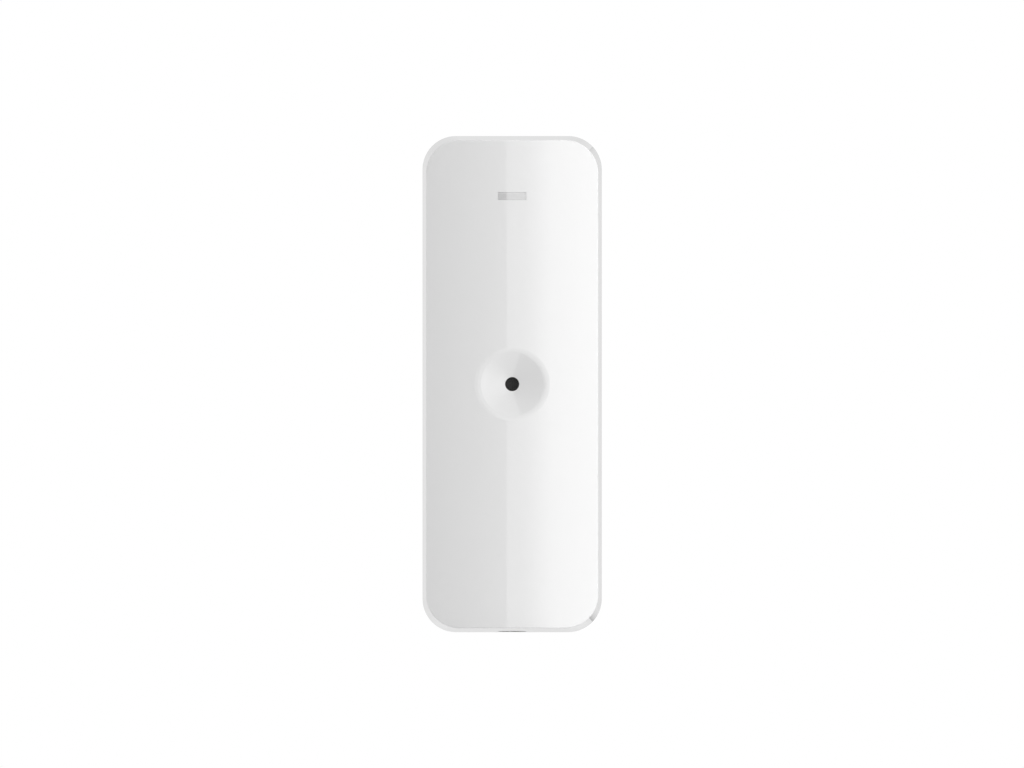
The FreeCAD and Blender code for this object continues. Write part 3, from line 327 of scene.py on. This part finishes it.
def capsuleLook(r):
    x, y, z = r.split(r.place())
    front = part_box("microphone_capsule")[0][1]
    covered = (y < front + capsule["feltBack"]) * (r.distance(x, z) < capsule["feltRadius"])
    lines = r.lines(capsule["grain"])
    nap = r.noise(capsule["nap"], capsule["napDetail"])
    feltRoughness, metalRoughness = within(capsule["feltRoughness"], nap), within(capsule["metalRoughness"], lines)
    relief = covered * nap * capsule["napTimesLines"] + (1 - covered) * lines
    return {
        "Base Color": r.blend(covered, r.blend(lines, *capsule["metal"]), capsule["felt"]),
        "Metallic": 1 - covered,
        "Roughness": covered * feltRoughness + (1 - covered) * metalRoughness,
        "Normal": r.bump(relief, capsule["depth"]),
    }


# Solder mask over copper: tracks run in squares of their own direction, between plain squares of
# copper, and small rings stand where a track goes through to the other side
board = {
    "square": 3.1 * mm, "turned": 0.5, "plain": 0.52, "track": 0.55 * mm, "trackShare": 0.34,
    "ring": 1.9 * mm, "ringScatter": 0.8, "ringsLeftOut": 0.62, "ringOut": 0.30 * mm, "ringIn": 0.15 * mm,
    "mask": (0.006, 0.080, 0.028), "overCopper": (0.012, 0.135, 0.047), "overRing": (0.030, 0.230, 0.090),
    "hole": (0.004, 0.030, 0.012), "stain": (0.010, 0.055, 0.022), "stainShare": 0.25,
    "cloud": 0.4 * mm, "cloudDetail": 3.0, "cloudRelief": 0.1, "roughness": (0.24, 0.08), "depth": 0.02 * mm,
}


def boardLook(r):
    x, _, z = r.split(r.place())
    squares = {"Vector": r.place(), "Scale": 1 / board["square"]}
    field = r.node("TexVoronoi", {"distance": "CHEBYCHEV"}, squares, out=1)
    turnChance, plainChance, _ = r.outputs("SeparateColor", {}, {0: field})
    turned, plain = turnChance > board["turned"], plainChance < board["plain"]
    along = r.node("Mix", {}, {0: turned, 2: x, 3: z})
    tracks = r.maths("PINGPONG", along, board["track"]) / board["track"] < board["trackShare"]
    scatter = {"Vector": r.place(), "Scale": 1 / board["ring"], "Randomness": board["ringScatter"]}
    spotAway, spotColour = r.outputs("TexVoronoi", {}, scatter)[:2]
    away = spotAway * board["ring"]
    kept = r.node("SeparateColor", {}, {0: spotColour}) > board["ringsLeftOut"]
    ring = kept * (away < board["ringOut"]) * (away > board["ringIn"])
    hole = kept * (away < board["ringIn"])
    copper = r.maths("MAXIMUM", tracks * (1 - plain) + plain, ring)
    lacquer = r.blend(copper, board["mask"], board["overCopper"])
    lacquer = r.blend(ring, lacquer, board["overRing"])
    lacquer = r.blend(hole, lacquer, board["hole"])
    cloud = r.noise(board["cloud"], board["cloudDetail"])
    return {
        "Base Color": r.blend(cloud * board["stainShare"], lacquer, board["stain"]),
        "Roughness": within(board["roughness"], cloud),
        "Normal": r.bump(copper - hole + board["cloudRelief"] * cloud, board["depth"]),
    }


# The sleeve of the cell: two plain bands of colour round it, and bare metal at the ends
sleeve = {
    "lower": (0.72, 0.73, 0.74), "upper": (0.10, 0.20, 0.42), "upperFrom": 26.0 * mm,
    "bare": (0.70, 0.69, 0.66), "bareBelow": 1.15 * mm, "bareAbove": 34.0 * mm,
    "foil": 0.7 * mm, "foilTint": (0.3, 0.3, 0.3), "foilShare": 0.08, "roughness": (0.22, 0.1), "depth": 0.01 * mm,
}


def sleeveLook(r):
    _, _, z = r.split(r.place())
    foil = r.noise(sleeve["foil"])
    printed = r.blend(z > sleeve["upperFrom"], sleeve["lower"], sleeve["upper"])
    printed = r.blend(sleeve["foilShare"] * foil, printed, sleeve["foilTint"])
    bare = (z < sleeve["bareBelow"]) + (z > sleeve["bareAbove"])
    return {
        "Base Color": r.blend(bare, printed, sleeve["bare"]),
        "Metallic": bare,
        "Roughness": within(sleeve["roughness"], foil),
        "Normal": r.bump(foil, sleeve["depth"]),
    }


# The indicator's lens, cloudy and a little yellow
lensFinish = {
    "colours": ((0.84, 0.80, 0.66), (0.88, 0.86, 0.78)), "cloud": 0.5 * mm,
    "roughness": (0.18, 0.08), "patch": 0.3 * mm, "cloudy": 0.1,
}


def lensLook(r):
    return {
        "Base Color": r.blend(r.noise(lensFinish["cloud"]), *lensFinish["colours"]),
        "Roughness": within(lensFinish["roughness"], r.noise(lensFinish["patch"])),
        "Subsurface Weight": lensFinish["cloudy"],
    }


# Ceramic body with tinned ends, which the attribute "tinned" marks
chipFinish = {
    "ceramic": ((0.20, 0.13, 0.08), (0.42, 0.31, 0.22)), "tin": ((0.62, 0.62, 0.61), (0.74, 0.74, 0.73)),
    "speckle": 0.12 * mm, "detail": 3.0, "roughness": (0.36, 0.18), "depth": 0.003 * mm,
}


def partsLook(r):
    tinned = r.node("Attribute", {"attribute_name": "tinned"}, out=2) > 0.5  # 1 on the tinned blocks
    speckle = r.noise(chipFinish["speckle"], chipFinish["detail"])
    ceramic, tin = r.blend(speckle, *chipFinish["ceramic"]), r.blend(speckle, *chipFinish["tin"])
    return {
        "Base Color": r.blend(tinned, ceramic, tin),
        "Metallic": tinned,
        "Roughness": within(chipFinish["roughness"], speckle),
        "Normal": r.bump(speckle, chipFinish["depth"]),
    }


for name, wish in plastics.items():
    newFinish(name, moulded(**wish))
for name, wish in metals.items():
    newFinish(name, drawn(**wish))
newFinish("cover_white", coverLook)
newFinish("pipe_clear", pipeLook)
newFinish("mesh_black", meshLook)
newFinish("capsule_metal", capsuleLook)
newFinish("board_green", boardLook)
newFinish("cell_sleeve", sleeveLook)
newFinish("led_lens", lensLook)
newFinish("chip_parts", partsLook)

for part in frame["record"]["subparts"]:
    node = frame["nodes"][part["node"]]
    node.data.materials.clear()
    node.data.materials.append(materials[part["material_slot"]])
print("finishes on the packed pieces")


# Geometry trees: sizes is what a user would change, and grow(recipe, wires) returns the shape,
# which may build on a start mesh. Edges sharper than crease stay sharp.
def growPiece(name, finish, sizes, grow, start=None, bevel=0.0, bevelSteps=2, crease=180):
    tree = bpy.data.node_groups.new(name, "GeometryNodeTree")
    recipe = Recipe(tree)
    tree.interface.new_socket("Shape", in_out="OUTPUT", socket_type="NodeSocketGeometry")
    tree.interface.new_socket("Start", in_out="INPUT", socket_type="NodeSocketGeometry")
    for title, value in sizes.items():
        kind = "NodeSocketInt" if isinstance(value, int) else "NodeSocketFloat"
        tree.interface.new_socket(title, in_out="INPUT", socket_type=kind)
    entry = tree.nodes.new("NodeGroupInput")
    wires = {title: Wire(recipe, entry.outputs[title]) for title in ("Start", *sizes)}
    whole = recipe.node("GeometryNodeRealizeInstances", {}, {"Geometry": grow(recipe, wires)})
    smooth = recipe.node("GeometryNodeSetShadeSmooth", {}, {"Geometry": whole})
    coated = recipe.node("GeometryNodeSetMaterial", {}, {"Geometry": smooth, "Material": materials[finish]})
    recipe.node("NodeGroupOutput", {}, {"Shape": coated})

    seed = bpy.data.objects.new(name, start or bpy.data.meshes.new(name + "_seed"))
    scene.collection.objects.link(seed)
    modifier = seed.modifiers.new(name, "NODES")
    modifier.node_group = tree
    for item in tree.interface.items_tree:
        if item.item_type == "SOCKET" and item.in_out == "INPUT" and item.name in sizes:
            modifier[item.identifier] = sizes[item.name]
    if bevel:
        rounding = seed.modifiers.new("rounding", "BEVEL")
        rounding.width, rounding.segments = bevel, bevelSteps
    grown = seed.evaluated_get(bpy.context.evaluated_depsgraph_get())
    mesh = bpy.data.meshes.new_from_object(grown)
    seed.modifiers.clear()
    seed.data = mesh
    mesh.name = name
    mesh.set_sharp_from_angle(angle=math.radians(crease))
    return seed


def dress(piece, slot, *nodes):
    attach(piece, "housing")
    if nodes:
        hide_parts(*nodes)
    print(piece.name, "made of", len(piece.data.polygons), "faces")


# Points given as a mesh, for a tree to stand its instances on
def pointMesh(name, points):
    mesh = bpy.data.meshes.new(name)
    mesh.from_pydata(points, [], [])
    return mesh


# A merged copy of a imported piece, to build on
def mergedCopy(node):
    shape = bmesh.new()
    shape.from_mesh(frame["nodes"][node].data)
    bmesh.ops.remove_doubles(shape, verts=shape.verts, dist=0.1 * hair)
    return shape


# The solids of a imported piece, each as its lowest and highest corners, in the order of their points
def solidBoxes(node):
    shape = mergedCopy(node)
    boxes, left = [], set(shape.verts)
    for first in shape.verts:
        if first not in left:
            continue
        left.remove(first)
        solid, reached = set(), [first]
        while reached:
            vert = reached.pop()
            solid.add(vert)
            found = {edge.other_vert(vert) for edge in vert.link_edges} & left
            left -= found
            reached.extend(found)
        low = Vector([min(vert.co[i] for vert in solid) for i in range(3)])
        high = Vector([max(vert.co[i] for vert in solid) for i in range(3)])
        boxes.append((low, high))
    shape.free()
    return boxes


# The mesh behind the sound port: a plain weave, cut to a disc
weave = {"pitch": 0.16 * mm, "wire": 0.045 * mm, "play": 1.02, "stepsInPitch": 3, "sides": 5}


def growWeave(g, size):
    reach = size["Radius"] - size["Wire"]
    pitch = size["Pitch"]
    half = g.maths("FLOOR", reach / pitch)
    row = g.node("GeometryNodeMeshLine", {}, {
        "Count": 2 * half + 1, "Start Location": g.vector(x=-1 * half * pitch), "Offset": g.vector(x=pitch)})
    x, _, z = g.split(g.node("GeometryNodeInputPosition"))
    length = g.maths("SQRT", reach * reach - x * x)
    thread = g.node("GeometryNodeCurvePrimitiveLine", {}, {"Start": (0, 0, -1), "End": (0, 0, 1)})
    laid = g.node("GeometryNodeInstanceOnPoints", {}, {
        "Points": row, "Instance": thread, "Scale": g.vector(1.0, 1.0, length)})
    laid = g.node("GeometryNodeRealizeInstances", {}, {"Geometry": laid})
    laid = g.node("GeometryNodeResampleCurve", {"mode": "LENGTH"}, {"Curve": laid, "Length": pitch / size["Steps"]})
    waves = [g.maths("COSINE", math.pi * along / pitch) for along in (x, z)]
    lift = waves[0] * waves[1] * size["Wire"] * size["Play"]
    section = g.node("GeometryNodeCurvePrimitiveCircle", {}, {"Resolution": size["Sides"], "Radius": size["Wire"]})
    families = []
    for side, turned in ((1, 0.0), (-1, math.pi / 2)):
        bent = g.node("GeometryNodeSetPosition", {}, {"Geometry": laid, "Offset": g.vector(y=side * lift)})
        tube = g.node("GeometryNodeCurveToMesh", {}, {"Curve": bent, "Profile Curve": section, "Fill Caps": True})
        families.append(g.node("GeometryNodeTransform", {}, {"Geometry": tube, "Rotation": (0, turned, 0)}))
    place = g.vector(y=size["Place"])
    return g.node("GeometryNodeTransform", {}, {"Geometry": g.join(*families), "Translation": place})


discLow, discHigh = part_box("acoustic_mesh")
woven = growPiece("mesh_weave", "mesh_black", {
    "Radius": (discHigh[0] - discLow[0]) / 2, "Place": (discLow[1] + discHigh[1]) / 2,
    "Pitch": weave["pitch"], "Wire": weave["wire"], "Play": weave["play"],
    "Steps": weave["stepsInPitch"], "Sides": weave["sides"],
}, growWeave)
dress(woven, "mesh_black", "acoustic_mesh")

# A screw thread, upright from its seat at the origin: rows that climb one pitch in each turn, with
# turns to spare at both ends, where they are pressed flat. The nudge keeps a row that falls on a
# whole turn from missing the crest.
screws = {
    "locking_screw": {"pitch": 0.95 * mm, "root": 0.72, "turnsFaded": 0.8, "tip": 1.1 * mm},
    "board_screws": {"pitch": 0.75 * mm, "root": 0.74, "turnsFaded": 0.8, "tip": 0.7 * mm},
    "columns": 24, "rowsInPitch": 4, "merge": 0.004 * mm, "crease": 50,
    "spareTurns": 1, "nudge": 0.001, "crestInPitch": 0.5, "tipNarrower": 0.45,
}


def growThread(g, size):
    spare, nudge = screws["spareTurns"], screws["nudge"]
    turns = size["Length"] / size["Pitch"] + (1 + 2 * spare)
    rows = g.maths("CEIL", turns * size["Rows"])
    grid = g.node("GeometryNodeMeshGrid", {}, {
        "Size X": 1.0, "Size Y": 1.0, "Vertices X": size["Columns"] + 1, "Vertices Y": rows + 1})
    across, up, _ = g.split(g.node("GeometryNodeInputPosition"))
    turn, climb = across + 0.5, (up + 0.5) * rows / size["Rows"]
    height = g.clamp((climb + turn - (1 + spare)) * size["Pitch"], 0.0, size["Length"])
    fromCrest = abs(g.maths("FRACT", climb + nudge) - (0.5 + nudge))
    ridge = g.maths("MAXIMUM", 1 - fromCrest / (screws["crestInPitch"] / 2), 0.0)
    run = size["Faded"] * size["Pitch"]
    fadeIn = g.clamp(height / run, 0.0, 1.0)
    fadeOut = g.clamp((size["Length"] - height) / run, 0.0, 1.0)
    taper = g.clamp((height - size["Length"] + size["Tip"]) / size["Tip"], 0.0, 1.0)
    core = size["Root"] * (1 - screws["tipNarrower"] * taper * taper)
    radius = size["Radius"] * (core + (1 - size["Root"]) * ridge * fadeIn * fadeOut)
    wall = abs(up) < 0.5 - 0.25 / rows  # all rows but the first and the last, which close the ends
    angle = turn * 2 * math.pi
    spot = g.vector(radius * wall * g.maths("COSINE", angle), radius * wall * g.maths("SINE", angle), height)
    wound = g.node("GeometryNodeSetPosition", {}, {"Geometry": grid, "Position": spot})
    return g.node("GeometryNodeMergeByDistance", {}, {"Geometry": wound, "Distance": size["Merge"]})


# The head of a packed screw, without its shank, closed where the shank was
def screwHead(node, shankBeyond):
    shape = mergedCopy(node)
    shank = [face for face in shape.faces if shankBeyond(face.calc_center_median())]
    bmesh.ops.delete(shape, geom=shank, context="FACES")
    bmesh.ops.holes_fill(shape, edges=[edge for edge in shape.edges if edge.is_boundary], sides=0)
    mesh = bpy.data.meshes.new(node + "_head")
    shape.to_mesh(mesh)
    shape.free()
    if "custom_normal" in mesh.attributes:
        mesh.attributes.remove(mesh.attributes["custom_normal"])
    return mesh


# A packed screw or screws with a thread cut, one shaft at each seat, turned from upright
def cutScrew(name, node, finish, seats, length, radius, rotation, beyond):
    wish = screws[node]

    def grow(g, size):
        shaft = g.node("GeometryNodeTransform", {}, {"Geometry": growThread(g, size), "Rotation": rotation})
        shafts = [
            g.node("GeometryNodeTransform", {}, {"Geometry": shaft, "Translation": seat}) for seat in seats]
        return g.join(*shafts, size["Start"])

    piece = growPiece(name, finish, {
        "Length": length, "Radius": radius, "Pitch": wish["pitch"], "Root": wish["root"],
        "Faded": wish["turnsFaded"], "Tip": wish["tip"],
        "Columns": screws["columns"], "Rows": screws["rowsInPitch"], "Merge": screws["merge"],
    }, grow, start=screwHead(node, beyond), crease=screws["crease"])
    dress(piece, finish, node)


lock = {"head": 1.6 * mm, "radius": 1.2 * mm}
lockLow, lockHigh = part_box("locking_screw")
lockSeat = Vector(((lockLow[0] + lockHigh[0]) / 2, (lockLow[1] + lockHigh[1]) / 2, lockLow[2] + lock["head"]))
cutScrew(
    "locking_screw_cut", "locking_screw", "screw_steel", [lockSeat], lockHigh[2] - lockSeat.z, lock["radius"],
    (0, 0, 0), lambda spot: spot.z > lockSeat.z + hair)

pair = {"head": 1.4 * mm, "headRadius": 2.0 * mm, "radius": 0.98 * mm}
pairLow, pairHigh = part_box("board_screws")
pairSeat = pairHigh[1] - pair["head"]
pairSeats = [
    Vector((x, pairSeat, (pairLow[2] + pairHigh[2]) / 2))
    for x in (pairLow[0] + pair["headRadius"], pairHigh[0] - pair["headRadius"])]
cutScrew(
    "board_screws_cut", "board_screws", "screw_steel", pairSeats, pairSeat - pairLow[1], pair["radius"],
    (math.pi / 2, 0, 0), lambda spot: spot.y < pairSeat - hair)

# Small resistors and capacitors: a ceramic body between two tinned ends
chips = {"end": 0.19, "bodyThinner": 0.9, "bevel": 0.04 * mm, "crease": 60}


def growChips(g, size):
    def block(length, thinner, shift, tinned):
        shape = g.node("GeometryNodeMeshCube", {}, {
            "Size": g.vector(length, size["Height"] * thinner, size["Width"] * thinner)})
        shape = g.node("GeometryNodeTransform", {}, {"Geometry": shape, "Translation": g.vector(x=shift)})
        return g.node("GeometryNodeStoreNamedAttribute", {"data_type": "FLOAT", "domain": "POINT"}, {
            "Geometry": shape, "Name": "tinned", "Value": tinned})

    end = size["Length"] * size["End"]
    away = (size["Length"] - end) / 2
    chip = g.join(
        block(end, 1.0, away, 1.0),
        block(end, 1.0, -1 * away, 1.0),
        block(size["Length"] - end, size["Thinner"], 0.0, 0.0))
    turn = g.node("GeometryNodeInputNamedAttribute", {"data_type": "FLOAT"}, {"Name": "turn"})
    return g.node("GeometryNodeInstanceOnPoints", {}, {
        "Points": size["Start"], "Instance": chip, "Rotation": g.vector(y=turn)})


chipBoxes = solidBoxes("chip_components")
chipPoints = pointMesh("chip_points", [(low + high) / 2 for low, high in chipBoxes])
chipTurns = chipPoints.attributes.new("turn", "FLOAT", "POINT")
spans = [high - low for low, high in chipBoxes]
for row, span in zip(chipTurns.data, spans):
    row.value = math.pi / 2 if span.z > span.x else 0.0
chipRow = growPiece("chip_row", "chip_parts", {
    "Length": max(spans[0].x, spans[0].z), "Width": min(spans[0].x, spans[0].z), "Height": spans[0].y,
    "End": chips["end"], "Thinner": chips["bodyThinner"],
}, growChips, start=chipPoints, bevel=chips["bevel"], crease=chips["crease"])
dress(chipRow, "chip_parts", "chip_components")

# Solder round the legs that come through the board to its front: cones that hollow towards the leg
solder = {
    "legs": ("positive_contact", "negative_contact", "strip_antenna"),
    "base": 0.62 * mm, "tip": 0.16 * mm, "height": 0.36 * mm, "wider": 1.5, "hollow": 2.2,
    "sides": 20, "rings": 6, "crease": 60,
}


def growSolder(g, size):
    cone = g.node("GeometryNodeMeshCone", {}, {
        "Vertices": size["Sides"], "Side Segments": size["Rings"], "Radius Top": size["Tip"],
        "Radius Bottom": size["Base"], "Depth": size["Height"]})
    x, y, z = g.split(g.node("GeometryNodeInputPosition"))
    share = g.clamp(z / size["Height"], 0.0, 1.0)
    hollow = g.maths("POWER", 1 - share, size["Hollow"])
    straight = size["Base"] + (size["Tip"] - size["Base"]) * share
    thin = (size["Tip"] + (size["Base"] - size["Tip"]) * hollow) / straight
    shaped = g.node("GeometryNodeSetPosition", {}, {
        "Geometry": cone, "Position": g.vector(x * thin * size["Wider"], y * thin, z)})
    return g.node("GeometryNodeInstanceOnPoints", {}, {
        "Points": size["Start"], "Instance": shaped, "Rotation": (math.pi / 2, 0, 0)})


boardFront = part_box("main_board")[0][1]
legEnds = []
for node in solder["legs"]:
    tails = [vert.co for vert in frame["nodes"][node].data.vertices if vert.co.y < boardFront - hair]
    for side in (-1, 1):
        leg = [spot for spot in tails if spot.x * side > 0]
        middle = [(min(spot[i] for spot in leg) + max(spot[i] for spot in leg)) / 2 for i in (0, 2)]
        legEnds.append((middle[0], boardFront, middle[1]))
joints = growPiece("solder_joints", "solder_tin", {
    "Base": solder["base"], "Tip": solder["tip"], "Height": solder["height"], "Wider": solder["wider"],
    "Sides": solder["sides"], "Rings": solder["rings"], "Hollow": solder["hollow"],
}, growSolder, start=pointMesh("leg_ends", legEnds), crease=solder["crease"])
dress(joints, "shield_tin")

# The studio: a pale floor, a white surround, one soft lamp from the right, and three cards round the
# object that show only in what is glossy
studio = {
    "floorSize": 3.0, "floorColour": (0.86, 0.86, 0.86), "floorShade": 0.985, "floorCloud": 0.3,
    "floorRoughness": 0.9, "surround": 0.7325,
    "keyPower": 33.3, "keySize": 1.7, "keyAway": 2.6, "keyTurn": 65, "keyLift": 18,
}


# rows are pairs of points, one row above the other
def flatSheet(name, rows, material):
    mesh = bpy.data.meshes.new(name)
    faces = [(2 * i, 2 * i + 1, 2 * i + 3, 2 * i + 2) for i in range(len(rows) - 1)]
    mesh.from_pydata([point for row in rows for point in row], [], faces)
    mesh.materials.append(material)
    sheet = bpy.data.objects.new(name, mesh)
    scene.collection.objects.link(sheet)
    return sheet


def floorLook(r):
    dimmer = [studio["floorShade"] * part for part in studio["floorColour"]]
    return {
        "Base Color": r.blend(r.noise(studio["floorCloud"]), dimmer, studio["floorColour"]),
        "Roughness": studio["floorRoughness"],
        "Specular IOR Level": 0.0,
    }


newFinish("floor_paint", floorLook)
half, ground = studio["floorSize"] / 2, cadLow.z
floorRows = [[(side, y, ground) for side in (-half, half)] for y in (-half, half)]
floor = flatSheet("studio_floor", floorRows, materials["floor_paint"])
floor.visible_glossy = False  # so that the lower edge of the cover shows the wall card, not the floor

# In front of the object on the left, and without light: the face steps from darker to lighter where the
# right edge of this card shows. That edge bows to the left above and below the middle.
darkCard = {"away": 1.0, "from": -1.4, "to": -0.0416, "bow": 0.04, "halfHeight": 1.1, "steps": 24}

# Just behind it and wider: brighter to the right, as far as the funnel shows it, and dimmer beyond that
# and above or below the height of the object
paleCard = {
    "away": 1.01, "from": -1.0, "to": 1.0, "dimAt": 0.06, "dim": 1.15, "brightAt": 0.34, "bright": 2.9,
    "funnelAcross": 0.3, "funnelTall": 0.46, "funnelFade": 1.4, "level": 0.05, "levelFade": 0.09, "far": 0.7,
}


def darkLight(r):
    return (0, 0, 0)


def paleLight(r):
    x, _, z = r.split(r.place())
    rise = r.rise(x, paleCard["dimAt"], paleCard["brightAt"], "SMOOTHSTEP")
    across, tall = x / paleCard["funnelAcross"], z / paleCard["funnelTall"]
    beyond = r.rise(across * across + tall * tall, 1.0, paleCard["funnelFade"], "SMOOTHSTEP")
    high = r.rise(abs(z), paleCard["level"], paleCard["levelFade"], "SMOOTHSTEP")
    shown = paleCard["dim"] + (paleCard["bright"] - paleCard["dim"]) * rise
    return shown + beyond * high * (paleCard["far"] - shown)


# Behind the object, where only the drafted edge of the cover shows it: the sides of the edge show it
# at side and its ends at top, and past kept times these the light stays as it is there
wallCard = {
    "away": 1.6, "half": 2.4, "middle": 0.82, "side": 0.099, "top": 0.1255, "kept": 1.1,
    "turn": -0.03762, "lean": -0.04894, "fall": 0.058,
}

# The small dark marks in the two right corners of the edge. Seen from (x, z) on the card, and from its
# mirror image below, the light falls as the line of sight steepens to slope, and jumps back there. Past
# the upper mark it starts a little lighter, which fades by slopeEnd.
seam = {
    "x": 0.0094, "z": 0.0359, "slope": 0.95, "slopeEnd": 2.2, "lowStart": 0.38, "highStart": 0.65,
    "nearest": 0.02, "reach": 0.17, "dark": 0.245, "darkLean": -1.2, "lift": 0.065,
}


def wallLight(r):
    x, _, z = r.split(r.place())
    side = r.clamp(x / wallCard["side"], -wallCard["kept"], wallCard["kept"])
    tall = r.clamp(z / wallCard["top"], -wallCard["kept"], wallCard["kept"])
    even = wallCard["middle"] + wallCard["turn"] * side
    even = even + wallCard["lean"] * tall * tall * tall - wallCard["fall"] * side * side

    out, upper = x - seam["x"], z > 0
    slope = (abs(z) - seam["z"]) / r.maths("MAXIMUM", out, seam["nearest"])
    start = seam["lowStart"] + (seam["highStart"] - seam["lowStart"]) * upper
    falling, below = r.rise(slope, start, seam["slope"]), slope < seam["slope"]
    fading = 1 - r.rise(slope, seam["slope"], seam["slopeEnd"])
    close = (x * x + z * z < seam["reach"] * seam["reach"]) * (out > seam["nearest"])
    shade = below * falling * falling * (seam["dark"] + seam["darkLean"] * z)
    return even - close * (shade - (1 - below) * upper * fading * seam["lift"])


steps = darkCard["steps"]
heights = [darkCard["halfHeight"] * (2 * i / steps - 1) for i in range(steps + 1)]
darkRows = [
    [(darkCard["from"], -darkCard["away"], z), (darkCard["to"] - darkCard["bow"] * z * z, -darkCard["away"], z)]
    for z in heights]
paleRows = [
    [(paleCard["from"], -paleCard["away"], z), (paleCard["to"], -paleCard["away"], z)] for z in heights]
behind, wide = wallCard["away"], wallCard["half"]
wallRows = [[(-wide, behind, z), (wide, behind, z)] for z in (-wide, wide)]
cards = {"dark_card": (darkRows, darkLight), "pale_card": (paleRows, paleLight), "wall_card": (wallRows, wallLight)}
for name, (rows, light) in cards.items():
    paint = bpy.data.materials.new(name)
    paint.use_nodes = True
    recipe = Recipe(paint.node_tree)
    glow = recipe.node("Emission", {}, {"Color": light(recipe), "Strength": 1.0})
    recipe.node("OutputMaterial", {}, {"Surface": glow})
    card = flatSheet("studio_" + name, rows, paint)
    card.visible_camera = card.visible_diffuse = card.visible_shadow = card.visible_transmission = False

# The surround is plain white where it is seen, also in metal and through glass, and dimmer as light
world = bpy.data.worlds.new("surround")
world.use_nodes = True
scene.world = world
air = Recipe(world.node_tree)
path = air.node("LightPath").socket.node
seen = [Wire(air, path.outputs[name]) for name in ("Is Camera Ray", "Is Glossy Ray", "Is Transmission Ray")]
shown = air.maths("MAXIMUM", air.maths("MAXIMUM", seen[0], seen[1]), seen[2])
strength = shown + (1 - shown) * studio["surround"]
air.node("OutputWorld", {}, {"Surface": air.node("Background", {}, {"Color": (1, 1, 1), "Strength": strength})})

turn, lift = math.radians(studio["keyTurn"]), math.radians(studio["keyLift"])
towards = Vector((math.sin(turn) * math.cos(lift), -math.cos(turn) * math.cos(lift), math.sin(lift)))
lamp = bpy.data.lights.new("key", "AREA")
lamp.shape, lamp.size, lamp.energy = "SQUARE", studio["keySize"], studio["keyPower"]
key = bpy.data.objects.new("key", lamp)
key.location = towards * studio["keyAway"]
key.rotation_euler = towards.to_track_quat("Z", "Y").to_euler()
scene.collection.objects.link(key)
scene.view_settings.view_transform = "Standard"
print("studio lit")

# The camera looks squarely at the front and shows 171.3 mm across the picture
view = {"distance": 1.2, "width": 171.3 * mm, "x": -0.025 * mm, "z": 0.017 * mm}
lens = bpy.data.cameras.new("camera")
lens.type, lens.ortho_scale = "ORTHO", view["width"]
camera = bpy.data.objects.new("camera", lens)
camera.location = (view["x"], -view["distance"], view["z"])
camera.rotation_euler = (math.pi / 2, 0, 0)
scene.collection.objects.link(camera)
scene.camera = camera

print("scene made")
